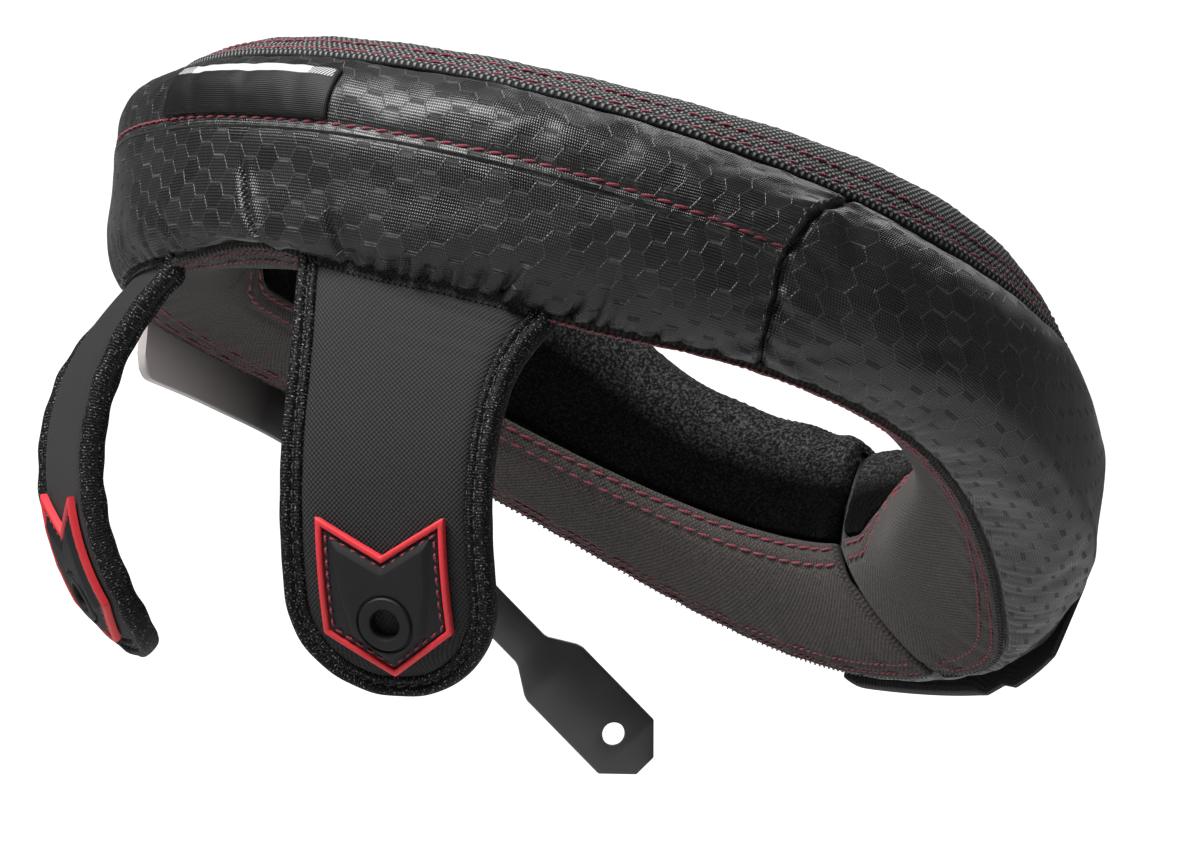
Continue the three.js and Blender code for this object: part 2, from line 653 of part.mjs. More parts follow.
function mountingStrap() {
  const route = STRAP_ROUTE.map(({ x, y, z }) => new THREE.Vector3(x, y, z));
  const curve = new THREE.CatmullRomCurve3(route, false, "centripetal");
  const spans = STRAP_ROUTE.length - 1;
  const band = spread(0, 1, STRAP_SECTIONS).map((t, index) => {
    const row = Math.min(Math.floor(t * spans), spans - 1);
    const share = t * spans - row;
    const [a, b] = [STRAP_ROUTE[row], STRAP_ROUTE[row + 1]];
    const half = (lerp(a.width, b.width, share) / 2) * (index === 0 ? STRAP_BLUNT : 1);
    return strapSection(curve.getPoint(t), curve.getTangent(t), lerp(a.facing, b.facing, share), half);
  });
  const end = route[spans];
  const direction = curve.getTangent(1);
  const { facing } = STRAP_ROUTE[spans];
  const onPaddle = (along) => end.clone().addScaledVector(direction, along);
  const paddle = paddleOutline().map(({ along, half }) => {
    return strapSection(onPaddle(along), direction, facing, half);
  });
  const hole = onPaddle(PADDLE.neck + PADDLE.shoulder + PADDLE.straight - PADDLE_HOLE_INSET);
  const { thick } = strapFrame(direction, facing);
  const drill = new THREE.CylinderGeometry(PADDLE.hole / 2, PADDLE.hole / 2, 4 * STRAP_THICK, BORE_SIDES);
  drill.applyQuaternion(new THREE.Quaternion().setFromUnitVectors(new THREE.Vector3(0, 1, 0), thick));
  drill.translate(hole.x, hole.y, hole.z);
  const strap = solid(loft([...band, ...paddle])).subtract(solid(drill));
  return named("mounting_strap", geometryOf(strap), plastic());
}

const ring = new THREE.Group();
ring.rotation.x = radians(-RING_TILT);
ring.add(...padPieces(), ...coverPieces(), labelPiece(), closureStrap());

const collar = new THREE.Group();
collar.add(ring, ...TABS.flatMap(tabPieces), mountingStrap());

export default collar;
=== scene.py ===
import math

import bpy
import numpy as np
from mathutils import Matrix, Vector


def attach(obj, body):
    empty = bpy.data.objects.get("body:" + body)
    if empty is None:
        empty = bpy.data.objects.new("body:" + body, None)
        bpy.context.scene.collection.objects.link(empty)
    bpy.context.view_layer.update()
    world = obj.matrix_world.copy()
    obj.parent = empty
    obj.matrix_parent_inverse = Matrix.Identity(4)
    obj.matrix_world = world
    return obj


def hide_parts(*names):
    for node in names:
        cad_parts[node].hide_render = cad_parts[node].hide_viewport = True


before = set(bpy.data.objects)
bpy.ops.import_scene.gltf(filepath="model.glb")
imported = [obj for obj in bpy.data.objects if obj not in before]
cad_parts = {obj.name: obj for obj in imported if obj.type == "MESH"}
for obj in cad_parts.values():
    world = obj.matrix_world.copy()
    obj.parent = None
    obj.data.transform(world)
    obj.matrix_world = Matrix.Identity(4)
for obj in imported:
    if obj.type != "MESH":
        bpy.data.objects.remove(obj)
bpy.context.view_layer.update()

MM = 0.001
BODY = "root"

# Shape of the ring, in millimetres and degrees, close to the solids
RING_TILT = 25
OVAL = 4
OPENING_ANGLE = 174
OPENING_GAP = 3
LEFT_REACH = 2
ARM_SEAM = 77
END_ROUND = 8
RIGHT_SHRINK = 0.34
LEFT_ROUND = 4
LEFT_SHRINK = 0.08
SKEW_LENGTH = 40
SEAM_BEND = -7
SEAM_BEND_LENGTH = 30
SEAM_SLANT = 2.3
LEFT_END = OPENING_ANGLE - 360 + OPENING_GAP / 2 - LEFT_REACH
RIGHT_END = OPENING_ANGLE - OPENING_GAP / 2

# Lines round the ring: reach, shift, height, lean, saddle, sway, skew
LINES = {
    "hem": (122.5, 1, -20, 0.5, -9.5, 2.5, -3),
    "tuck": (132, 4.5, -16, 1, -9, 1.5, -4),
    "bulge": (138, 5.5, -3, 4, -7, 0, 1),
    "stitch": (138.5, 1.5, 8.5, 5, -5.5, 0, 2),
    "ridge": (135.5, -2, 25.5, 0, -4, 0, 7),
    "seam": (127, -3, 35.5, -3.5, -2.5, 0, 13),
    "crown": (116, -2, 42.5, 4, -10, 3, 15),
    "rim": (106, -2, 38.5, 2.5, -10.5, 2.5, 17.5),
    "neck": (98, -2, 17, -1, -8, 0, 13.5),
    "fleece": (97, -2.7, -5.5, -2.5, -6.5, 0, 8),
    "under": (109, -1, -15, -0.5, -8.5, 1.5, 2),
}
# Rises of one line near an angle: line, angle, spread, lift
SWELLS = [
    ("hem", 8, 12, 5),
    ("seam", 180, 28, -9),
    ("ridge", 180, 28, -5),
    ("rim", 180, 35, 4),
    ("hem", 54, 12, -2),
    ("crown", -140, 14, -3.5),
    ("rim", -140, 14, -3.5),
]
# Changes of one line's reach near an angle: line, angle, spread, change
PULLS = [
    ("hem", 122, 22, -7),
    ("hem", 160, 12, 6.5),
    ("neck", 150, 16, -6),
    ("fleece", 148, 18, -8),
    ("under", 146, 18, -4),
]
NAMES = list(LINES)
COUNT = len(LINES)
PLACE = {name: row / COUNT for row, name in enumerate(NAMES)}
REACH, SHIFT, HEIGHT, LEAN, SADDLE, SWAY, SKEW = np.array(list(LINES.values()), float).T
# Share of the arm end's rounding that each line takes
ROUNDING = np.array([0.1, 0.5, 0.6, 0.5, 0.5, 0.5, 0.5, 0.45, 0.4, 0.45, 0.3])
# Small steps along the section, for its direction and for its length
NUDGE = 1e-4
SPEED_STEP = 0.002
# Least values that something is divided by
TINY = 1e-9
NO_LENGTH = 1e-12

# Fleece lining of the neck, with its edge's steps on the right arm: start and end angle, and shift
LINING_START = 48
LINING_CORNER = 14
LINING_LAP = 0.02
LINING_RISE = 0.01
LINING_STEPS = [(90, 150, -0.085), (160.2, 162.4, 0.046), (161.5, 167, 0.03)]
# How far the fleece laps over the crest on the arms, and the degrees that it takes to get there
CREST = 0.06
CREST_RUN = 40

# Thickness of the cloths, room behind them, half the gap between two of them as a place, and the length of a
# degree on the covers
COVER = 1.8
FLEECE = 2.7
UNDERLAY = 2.5
PAD_CLEARANCE = 1.1
EDGE = 0.0025
DEGREE = 2.2
# Radius near the nylon's face, for lengths along the ring
RADIUS = 135


def smooth_step(value, low, high):
    """0 below low, 1 above high and smooth between them."""
    t = np.clip((value - low) / (high - low), 0, 1)
    return t * t * (3 - 2 * t)


def fading(distance, length):
    """1 at no distance or less, falling evenly to 0 at that length and beyond."""
    return np.clip(1 - distance / length, 0, 1)


def quarter(share):
    """Rise of a quarter circle, from 0 where the share is 0 to 1 where it is 1."""
    return 1 - np.sqrt(1 - share**2)


def arc(angle):
    """Millimetres along the nylon's face for some degrees."""
    return angle * math.pi / 180 * RADIUS


def from_end(angle):
    """Degrees to the nearer end of the ring."""
    return np.minimum(angle - LEFT_END, RIGHT_END - angle)


def bumps(angle, rows):
    """Changes of single lines near some angles, for all lines."""
    total = np.zeros((len(angle), COUNT))
    for name, middle, width, size in rows:
        away = (angle - middle + 180) % 360 - 180
        total[:, NAMES.index(name)] += size * np.exp(-((away / width) ** 2))
    return total


def line_points(angle):
    """Points of all the ring's lines at each angle, in the ring's own frame."""
    fade = fading(from_end(angle), SKEW_LENGTH)[:, None]
    turn = np.radians(angle[:, None] + SKEW * fade**2)
    height = HEIGHT + LEAN * np.cos(turn) + SADDLE * np.cos(2 * turn) + SWAY * np.cos(3 * turn)
    height += bumps(angle, SWELLS)
    reach = REACH + bumps(angle, PULLS)
    return np.stack([(reach - OVAL) * np.sin(turn), SHIFT - (reach + OVAL) * np.cos(turn), height], axis=-1)


def section_points(angle):
    """The lines' points drawn together towards an arm end."""
    points = line_points(angle)
    right = quarter(fading(RIGHT_END - angle, END_ROUND))
    left = quarter(fading(angle - LEFT_END, LEFT_ROUND))
    closing = RIGHT_SHRINK * right + LEFT_SHRINK * left
    size = 1 - closing[:, None] * ROUNDING
    middle = points.mean(axis=1, keepdims=True)
    return middle + (points - middle) * size[..., None]


def through(p0, p1, p2, p3, weight):
    """A point between p1 and p2 of a centripetal curve through four points."""
    spans = (p1 - p0, p2 - p1, p3 - p2)
    d0, d1, d2 = (np.linalg.norm(span, axis=1, keepdims=True) ** 0.5 for span in spans)
    start = ((p1 - p0) / d0 - (p2 - p0) / (d0 + d1) + (p2 - p1) / d1) * d1
    finish = ((p2 - p1) / d1 - (p3 - p1) / (d1 + d2) + (p3 - p2) / d2) * d1
    square = -3 * p1 + 3 * p2 - 2 * start - finish
    cube = 2 * p1 - 2 * p2 + start + finish
    return p1 + start * weight + square * weight**2 + cube * weight**3


def on_section(points, at):
    """A point of each closed centripetal curve."""
    spot = (at % 1) * COUNT
    first = np.floor(spot).astype(int)
    rows = np.arange(len(points))
    corners = [points[rows, (first + step) % COUNT] for step in (-1, 0, 1, 2)]
    return through(*corners, (spot - first)[:, None])


def unit(vectors):
    return vectors / np.maximum(np.linalg.norm(vectors, axis=-1, keepdims=True), NO_LENGTH)


def outwards(turn):
    """Level directions that look out of the ring at some angles in radians."""
    return np.stack([np.sin(turn), -np.cos(turn), np.zeros_like(turn)], axis=-1)


def shell(angle, at, depth=0.0):
    """Points of the ring's surface, moved inwards by depth."""
    values = np.broadcast_arrays(*(np.asarray(value, float) for value in (angle, at, depth)))
    shape = values[0].shape
    angle, at, depth = (value.ravel() for value in values)
    points = section_points(angle)
    tangent = on_section(points, at + NUDGE) - on_section(points, at - NUDGE)
    turn = np.radians(angle)
    along = np.stack([np.cos(turn), np.sin(turn), np.zeros_like(turn)], axis=-1)
    inward = unit(np.cross(tangent, along))
    return (on_section(points, at) + inward * depth[:, None]).reshape(shape + (3,))


def to_world(points):
    """From the ring's own frame in millimetres to the part's frame in metres."""
    c, s = math.cos(math.radians(RING_TILT)), math.sin(math.radians(RING_TILT))
    x, y, z = np.moveaxis(points, -1, 0)
    return np.stack([x, c * y + s * z, c * z - s * y], axis=-1) * MM


def speed(angle, at):
    """Millimetres of surface for one whole turn of the section, at a place."""
    ahead = shell(angle, np.asarray(at) + SPEED_STEP)
    behind = shell(angle, np.asarray(at) - SPEED_STEP)
    return np.linalg.norm(ahead - behind, axis=-1) / (2 * SPEED_STEP)


def cover_edge(angle):
    """Place of the boundary between top cover and fleece, which lies further over the crest on the arms."""
    return PLACE["rim"] - CREST * smooth_step(np.abs(angle), LINING_START, LINING_START + CREST_RUN)


def lining_edge(angle):
    """Place of the boundary between fleece and underside panel."""
    away = np.abs(np.where(angle > OPENING_ANGLE, angle - 360, angle))
    rise = quarter(np.clip((LINING_START + LINING_CORNER - away) / LINING_CORNER, 0, 1))
    low = PLACE["fleece"] - LINING_LAP
    for begin, end, shift in LINING_STEPS:
        low = low + shift * smooth_step(angle, begin, end)
    return low + (PLACE["rim"] + LINING_RISE - low) * rise


# Meshes


def put(name, data):
    """A new object in the scene."""
    obj = bpy.data.objects.new(name, data)
    bpy.context.scene.collection.objects.link(obj)
    return obj


def make_object(name, points, faces, material, weave):
    """A piece of the part, with the cloth position of each of its points."""
    mesh = bpy.data.meshes.new(name)
    mesh.from_pydata(points.reshape(-1, 3).tolist(), [], faces)
    mesh.update()
    mesh.polygons.foreach_set("use_smooth", [True] * len(mesh.polygons))
    layer = mesh.attributes.new("weave", "FLOAT_VECTOR", "POINT")
    layer.data.foreach_set("vector", weave.astype(np.float32).ravel())
    mesh.materials.append(material)
    obj = put(name, mesh)
    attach(obj, BODY)
    return obj


def grid_faces(rows, columns, endless):
    """Faces of rows of points that are closed across. Ends are capped, or the last row joins the first."""
    spans = rows if endless else rows - 1
    row = np.arange(spans)[:, None]
    column = np.arange(columns)[None, :]
    following = (column + 1) % columns
    here, after = row * columns, (row + 1) % rows * columns
    corners = [here + column, here + following, after + following, after + column]
    faces = np.stack(np.broadcast_arrays(*corners), axis=-1).reshape(-1, 4).tolist()
    if not endless:
        faces.append(list(range(columns))[::-1])
        faces.append(list(range((rows - 1) * columns, rows * columns)))
    return faces


def volume_of(points, faces):
    """Six times the volume of a closed mesh, below zero if it is inside out."""
    flat = points.reshape(-1, 3)
    total = 0.0
    for face in faces:
        corner = flat[face]
        total += (np.cross(corner[1:-1], corner[2:]) @ corner[0]).sum()
    return total


def finished(node, points, material, weave, endless=False):
    """The visible piece that stands for a CAD node, a closed solid through rows of points."""
    faces = grid_faces(*points.shape[:2], endless)
    if volume_of(points, faces) < 0:
        faces = [face[::-1] for face in faces]
    obj = make_object(f"{node}_finished", points, faces, material, weave)
    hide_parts(node)
    return obj


def run_across(points):
    """Length along each row of points, from its first point."""
    return np.linalg.norm(np.diff(points, axis=1, prepend=points[:, :1]), axis=-1).cumsum(axis=1)


def run_along(points):
    """Length along one row of points, from its first point."""
    return run_across(points[None])[0]


def on_cloth(along, across):
    """Position on the cloth in millimetres: along the piece and across it."""
    along, across = np.broadcast_arrays(along, across)
    return np.stack([along, across, np.zeros_like(across)], axis=-1)


# Shaders, written as formulas


# Millimetres that two materials follow: where the painted reflection at the strap's start ends, and the
# label with its pale band
STRAP_REFLECTION_END = 60
LABEL_LENGTH = 66
LABEL_HEIGHT = 15
LABEL_BAND = (11.3, 14.4)
LABEL_HATCH = 9


def operation(kind):
    """A method that puts a signal, and what it is given, through one math node."""

    def method(signal, *others):
        return signal.make(kind, *others)

    return method


class Signal:
    """A number that varies over a surface."""

    def __init__(self, tree, socket):
        self.tree = tree
        self.socket = socket

    def make(self, operation, *others):
        node = self.tree.nodes.new("ShaderNodeMath")
        node.operation = operation
        for place, value in enumerate((self, *others)):
            if isinstance(value, Signal):
                self.tree.links.new(value.socket, node.inputs[place])
            else:
                node.inputs[place].default_value = value
        return Signal(self.tree, node.outputs[0])

    __add__ = operation("ADD")
    __sub__ = operation("SUBTRACT")
    __mul__ = operation("MULTIPLY")
    __truediv__ = operation("DIVIDE")
    wrap = operation("FLOORED_MODULO")
    size = operation("ABSOLUTE")
    above = operation("GREATER_THAN")
    most = operation("MAXIMUM")

    def wave(self, period):
        """Sine with that period, from 0 to 1."""
        return (self * (2 * math.pi / period)).make("SINE") * 0.5 + 0.5

    def mix(self, low, high):
        """low where this is 0, high where it is 1."""
        return self * (high - low) + low

    def between(self, low, high):
        """0 at or below low and 1 at or above high."""
        node = self.tree.nodes.new("ShaderNodeMapRange")
        node.inputs["From Min"].default_value = low
        node.inputs["From Max"].default_value = high
        self.tree.links.new(self.socket, node.inputs["Value"])
        return Signal(self.tree, node.outputs["Result"])


class Finish:
    """A procedural material that reads the cloth position of its piece."""

    def __init__(self, name, roughness=0.5, **sockets):
        self.material = bpy.data.materials.new(name)
        self.material.use_nodes = True
        self.tree = self.material.node_tree
        self.shader = self.tree.nodes["Principled BSDF"]
        self.shader.inputs["Roughness"].default_value = roughness
        for socket, value in sockets.items():
            self.shader.inputs[socket.replace("_", " ")].default_value = value
        position = self.tree.nodes.new("ShaderNodeAttribute")
        position.attribute_name = "weave"
        split = self.tree.nodes.new("ShaderNodeSeparateXYZ")
        self.tree.links.new(position.outputs["Vector"], split.inputs[0])
        self.u, self.v = (Signal(self.tree, split.outputs[axis]) for axis in "XY")

    def vector(self, x, y):
        """A place in a pattern, from two signals."""
        node = self.tree.nodes.new("ShaderNodeCombineXYZ")
        for place, value in enumerate((x, y)):
            self.tree.links.new(value.socket, node.inputs[place])
        return node.outputs[0]

    def noise(self, size, detail=2.0, where=None):
        """Cloudy noise with lumps of that size in millimetres, of the part or of the pattern given."""
        if where is None:
            where = self.tree.nodes.new("ShaderNodeTexCoord").outputs["Object"]
            size = size * MM
        node = self.tree.nodes.new("ShaderNodeTexNoise")
        node.inputs["Scale"].default_value = 1 / size
        node.inputs["Detail"].default_value = detail
        self.tree.links.new(where, node.inputs["Vector"])
        return Signal(self.tree, node.outputs["Fac"])

    def chance(self, where):
        """A random number for each cell."""
        node = self.tree.nodes.new("ShaderNodeTexWhiteNoise")
        node.noise_dimensions = "2D"
        self.tree.links.new(where, node.inputs["Vector"])
        return Signal(self.tree, node.outputs["Value"])

    def colour(self, signal, dark, light):
        """Colour that goes from dark where the signal is 0 to light where it is 1."""
        node = self.tree.nodes.new("ShaderNodeMix")
        node.data_type = "RGBA"
        node.inputs["A"].default_value = (*dark, 1)
        node.inputs["B"].default_value = (*light, 1)
        self.tree.links.new(signal.socket, node.inputs["Factor"])
        self.tree.links.new(node.outputs["Result"], self.shader.inputs["Base Color"])
        return self

    def rough(self, signal):
        """Roughness that varies over the surface."""
        self.tree.links.new(signal.socket, self.shader.inputs["Roughness"])
        return self

    def bump(self, signal, height):
        """Relief of that height in millimetres."""
        node = self.tree.nodes.new("ShaderNodeBump")
        node.inputs["Distance"].default_value = height * MM
        self.tree.links.new(signal.socket, node.inputs["Height"])
        self.tree.links.new(node.outputs["Normal"], self.shader.inputs["Normal"])
        return self


def nylon_finish():
    """Black nylon with a woven hexagon pattern."""
    finish = Finish("hexagon_nylon", Sheen_Weight=0.02, Sheen_Roughness=0.4, Specular_IOR_Level=0.4)
    cell, rib = 7.0, 0.8
    root = math.sqrt(3)
    x, y = finish.u / cell, finish.v / cell
    near = (x.wrap(root) - root / 2, y.wrap(1) - 0.5)
    other = ((x - root / 2).wrap(root) - root / 2, (y - 0.5).wrap(1) - 0.5)
    square = [a * a + b * b for a, b in (near, other)]
    pick = square[0].above(square[1])
    gx, gy = (pick.mix(a, b) for a, b in zip(near, other))
    flat = gy.size()
    slant = gx.size() * (root / 2) + flat * 0.5
    on_flat = flat.above(slant)
    edge = flat.most(slant) * -1 + 0.5
    dash = on_flat * edge.between(0.1, 0.085) * gx.size().between(0.26, 0.23)
    line = edge.between(0.032, 0.012)
    cell_value = finish.chance(finish.vector((x - gx) * 7.3, (y - gy) * 5.1))
    ribs = finish.v.wave(rib)
    grain = finish.u.wave(rib * 0.8)
    # Painted highlights: the hexagon outlines of the weave are painted bright, beaded along the ribs.
    dots = line * (ribs * 0.7 + 0.3)
    # Dark dashes are the float yarn's own colour; a few random dashes are painted bright as glints.
    dashes_and_glints = dash * (cell_value.above(0.86) * 0.75 - 0.26)
    # The weave's crossings (ribs times grain) are painted lighter as highlights; cell_value gives each
    # hexagon a random tone.
    shade = cell_value * 0.12 + ribs * grain * 0.5 + finish.noise(30) * 0.04 + dots * 0.6 + dashes_and_glints
    finish.colour(shade, (0.0004, 0.0004, 0.0005), (0.045, 0.045, 0.0465))
    finish.rough(cell_value * 0.1 + 0.25 + dash * 0.3 + ribs * 0.05)
    relief = ribs * grain * 0.38 + line * 0.4 - dash * 0.8
    return finish.bump(relief, 0.26).material


def ballistic_finish():
    """Coarse basket weave of thick black yarns, with highlights painted on the yarn crests."""
    finish = Finish("ballistic_weave", Sheen_Weight=0.03, Specular_IOR_Level=0.15)
    yarn = 1.8
    over = finish.u.wave(yarn) - 0.5
    under = finish.v.wave(yarn) - 0.5
    lumps = over * under * 2 + 0.5
    threads = (finish.u + finish.v).wave(0.28)
    # Painted highlights: the crests of the black yarns are painted light grey.
    shade = lumps.between(0.52, 0.9) * 0.88 + threads * 0.05 + finish.noise(25) * 0.05
    finish.colour(shade, (0.0003, 0.0003, 0.0004), (0.22, 0.22, 0.223))
    finish.rough(lumps * -0.2 + 0.75)
    return finish.bump(lumps * 0.9 + threads * 0.08, 0.4).material


def fleece_finish():
    """Black fleece with a short pile, painted near black as shade from 14 to 28 mm below its top edge."""
    finish = Finish("fleece_pile", 1.0, Sheen_Weight=0.02, Sheen_Roughness=0.4, Specular_IOR_Level=0.02)
    pile = finish.noise(0.8, 3.0)
    clumps = finish.noise(2.6, 3.0)
    # Painted shade: from 14 to 28 mm below the fleece's top edge the pile is painted down to near black.
    painted_shade_factor = finish.v.between(14, 28) * -0.95 + 1
    shade = (pile.between(0.45, 0.72) * 0.8 + clumps * 0.2) * painted_shade_factor
    finish.colour(shade, (0.0001, 0.0001, 0.0001), (0.07, 0.07, 0.0705))
    return finish.bump(pile * 0.8 + clumps * 0.5, 0.7).material


def neoprene_finish():
    """Warm grey neoprene with a fine twill face."""
    finish = Finish("neoprene_twill", 0.9, Sheen_Weight=0.06, Sheen_Roughness=0.5, Specular_IOR_Level=0.25)
    twill = (finish.u + finish.v).wave(1.4)
    cross = (finish.u - finish.v).wave(1.4)
    fluff = finish.noise(0.6, 3.0)
    shade = (twill * cross).between(0.1, 0.8) * 0.42 + fluff.between(0.35, 0.7) * 0.4
    shade = shade + finish.noise(35) * 0.15
    finish.colour(shade, (0.004, 0.0033, 0.0031), (0.088, 0.075, 0.070))
    return finish.bump(twill * cross * 0.6 + fluff * 0.6, 0.18).material


def canvas_finish():
    """Dark grey woven face of the tabs."""
    finish = Finish("tab_canvas", 0.75, Sheen_Weight=0.02, Specular_IOR_Level=0.2)
    yarn = 1.3
    lumps = (finish.u.wave(yarn) - 0.5) * (finish.v.wave(yarn) - 0.5) * 2 + 0.5
    # Painted highlights: the yarn crests of the dark grey canvas are painted lighter; the noise gives a
    # random tone.
    shade = lumps.between(0.3, 1.0) * 0.75 + finish.noise(35) * 0.25 + finish.noise(0.6) * 0.1
    finish.colour(shade, (0.002, 0.002, 0.0022), (0.031, 0.031, 0.032))
    return finish.bump(lumps, 0.2).material


def binding_finish():
    """Shiny ribbed binding tape, with glints painted into its colour."""
    finish = Finish("binding_tape", Sheen_Weight=0.0, Specular_IOR_Level=0.1)
    rib = finish.u.wave(0.8)
    strands = finish.noise(0.7, 2.0, finish.vector(finish.u * 1.6, finish.v * 0.9))
    # Painted glints: bright specks in the strands' colour stand for the tape's sheen; they also lower its
    # roughness.
    painted_glints = strands.between(0.6, 0.7)
    finish.colour(rib * 0.03 + painted_glints * 0.97, (0.0005, 0.0005, 0.0006), (0.2, 0.2, 0.203))
    finish.rough(painted_glints * -0.2 + 0.55)
    return finish.bump(rib * 0.35 + strands * 0.8, 0.3).material


def webbing_finish():
    """Black woven webbing."""
    finish = Finish("webbing", 0.65, Specular_IOR_Level=0.25)
    ribs = finish.u.wave(1.1)
    cross = finish.v.wave(1.6)
    finish.colour(ribs * 0.5 + cross * 0.3, (0.003, 0.003, 0.003), (0.02, 0.02, 0.021))
    return finish.bump(ribs * 0.7 + cross * 0.3, 0.25).material


def rubber_finish(name, dark, light, roughness):
    """Moulded rubber with a fine matte grain."""
    finish = Finish(name, Specular_IOR_Level=0.25)
    grain = finish.noise(0.35, 3.0)
    cloud = finish.noise(8)
    finish.colour(cloud * 0.6 + grain * 0.4, dark, light)
    finish.rough(grain * 0.14 + (roughness - 0.07))
    return finish.bump(grain, 0.04).material


def plastic_finish():
    """Satin plastic strap, brushed lightly along its length, with a pale reflection painted on near its
    start.
    """
    finish = Finish("strap_plastic", Coat_Weight=0.15, Coat_Roughness=0.25)
    brush = finish.noise(0.5, 2.0, finish.vector(finish.u * 0.05, finish.v))
    grain = finish.noise(0.4, 3.0)
    cloud = finish.noise(14)
    # Painted reflection: the first millimetres of the strap are painted pale grey, fading out further along.
    painted_reflection = finish.u.between(STRAP_REFLECTION_END, 6)
    finish.colour(cloud * 0.05 + brush * 0.02 + painted_reflection * 0.93, (0.005, 0.0045, 0.0045), (0.42, 0.38, 0.37))
    finish.rough(brush * 0.12 + cloud * 0.1 + 0.27)
    return finish.bump(brush * 0.5 + grain * 0.5, 0.02).material


def thread_finish(name, dark, light):
    """Twisted sewing thread."""
    finish = Finish(name, 0.5, Sheen_Weight=0.08)
    twist = (finish.u * 1.2 + finish.v).wave(0.9)
    finish.colour(twist * 0.7 + finish.noise(2) * 0.3, dark, light)
    return finish.bump(twist, 0.15).material


def label_finish():
    """Blank woven label: a black satin field with a pale band, hatched at both ends."""
    finish = Finish("woven_label", 0.5, Specular_IOR_Level=0.25)
    band = finish.v.above(LABEL_BAND[0]) * (finish.v.between(LABEL_BAND[1], LABEL_BAND[1] - 0.2))
    lean = finish.u - finish.v * 0.6
    middle = LABEL_LENGTH / 2
    at_ends = (finish.u - middle).size().above(middle - LABEL_HATCH)
    hatch = lean.wave(0.95).above(0.45)
    pale = band * (at_ends * (hatch - 1) + 1)
    inside = (finish.u - middle).size().between(middle - 1.4, middle - 1.6)
    threads = finish.u.wave(0.4) * 0.5 + finish.v.wave(0.5) * 0.5
    finish.colour(pale * inside * (threads * 0.15 + 0.85), (0.0025, 0.0025, 0.0028), (0.42, 0.42, 0.42))
    return finish.bump(threads, 0.08).material


NYLON = nylon_finish()
BALLISTIC = ballistic_finish()
FLEECE_PILE = fleece_finish()
NEOPRENE = neoprene_finish()
CANVAS = canvas_finish()
BINDING = binding_finish()
WEBBING = webbing_finish()
LABEL = label_finish()
RUBBER = rubber_finish("shield_rubber", (0.0035, 0.0035, 0.0038), (0.008, 0.008, 0.0083), 0.6)
RED_RUBBER = rubber_finish("red_rubber", (0.46, 0.022, 0.030), (0.60, 0.036, 0.044), 0.45)
PLASTIC = plastic_finish()
RED_THREAD = thread_finish("red_thread", (0.065, 0.003, 0.010), (0.24, 0.011, 0.033))
BLACK_THREAD = thread_finish("black_thread", (0.002, 0.002, 0.002), (0.018, 0.018, 0.018))


# Stitches


# Sides and rings of a stitch, its bow and its sinking as shares of its radius, and the shift of its twist
STITCH_SIDES = 6
STITCH_RINGS = 7
STITCH_BOW = 1.3
STITCH_SINK = 0.75
STITCH_SHIFT = 3.7


def resample(points, normals, pitch):
    """Evenly spaced places along a route, with the direction of the route and the normal there."""
    run = run_along(points)
    count = max(2, int(run[-1] / pitch))
    middle = (np.arange(count) + 0.5) * run[-1] / count

    def pick(values, spot):
        return np.stack([np.interp(spot, run, column) for column in values.T], axis=1)

    step = pitch / 4
    direction = unit(pick(points, middle + step) - pick(points, middle - step))
    return pick(points, middle), direction, unit(pick(normals, middle))


def stitch_solids(routes, pitch, length, radius, slant):
    """Points, faces and cloth positions of a stitch at each place of some routes."""
    reach = np.linspace(-1, 1, STITCH_RINGS)[:, None]
    turn = np.arange(STITCH_SIDES) * 2 * math.pi / STITCH_SIDES
    girth = np.sqrt(np.clip(1.04 - reach**2, 0.03, 1)) * radius
    bow = (1 - reach**2) * radius * STITCH_BOW - radius * STITCH_SINK
    parts = (reach * length / 2, girth * np.cos(turn), bow + girth * np.sin(turn))
    template = np.stack(np.broadcast_arrays(*parts), axis=-1).reshape(-1, 3)
    stitch_faces = grid_faces(STITCH_RINGS, STITCH_SIDES, False)
    points, faces, weaves = [], [], []
    for route, normals in routes:
        place, direction, normal = resample(route, normals, pitch * MM)
        across = unit(np.cross(normal, direction))
        ahead = direction * math.cos(slant) + across * math.sin(slant)
        side = np.cross(normal, ahead)
        for number, axes in enumerate(np.stack([ahead, side, normal], axis=1)):
            first = len(points) * len(template)
            faces.extend([[corner + first for corner in face] for face in stitch_faces])
            points.append(place[number] + MM * (template @ axes))
            weaves.append(template + [number * STITCH_SHIFT, 0, 0])
    return np.concatenate(points), faces, np.concatenate(weaves)


def stitching(name, routes, material, pitch, length, radius, slant=0.12):
    """A piece of thread with all the stitches of some routes."""
    points, faces, weave = stitch_solids(routes, pitch, length, radius, slant)
    return make_object(name, points, faces, material, weave)


def shell_route(angle, at, depth=0.0):
    """A route on the ring, with its outward normals, in the part's frame."""
    here = to_world(shell(angle, at, depth))
    inner = to_world(shell(angle, at, np.asarray(depth) + 1))
    return here, unit(here - inner)


def beside(angle, at, offset):
    """A route on the ring moved sideways by some millimetres, to the left of its direction."""
    stretch = speed(angle, at)
    place = shell(angle, at)
    reach = np.hypot(place[:, 0], place[:, 1]) * math.pi / 180
    run = np.gradient(angle) * reach
    rise = np.gradient(at) * stretch
    length = np.maximum(np.hypot(run, rise), TINY)
    return angle - offset * rise / length / reach, at + offset * run / length / stretch


# Padded ring


# Half the gap at an arm seam, the step between angles, and the points across each stretch behind a face
SEAM_GAP = 0.1
PAD_STEP = 0.4
BACK_ROWS = (14, 6, 5, 6, 5)
# Points of a rounded end, degrees that it takes at an arm seam, and the low dome on an open end
END_POINTS = 15
SEAM_ROUND = 2
ARM_DOME = 0.2
DOME_TURNS = np.radians([25, 45, 62, 76])
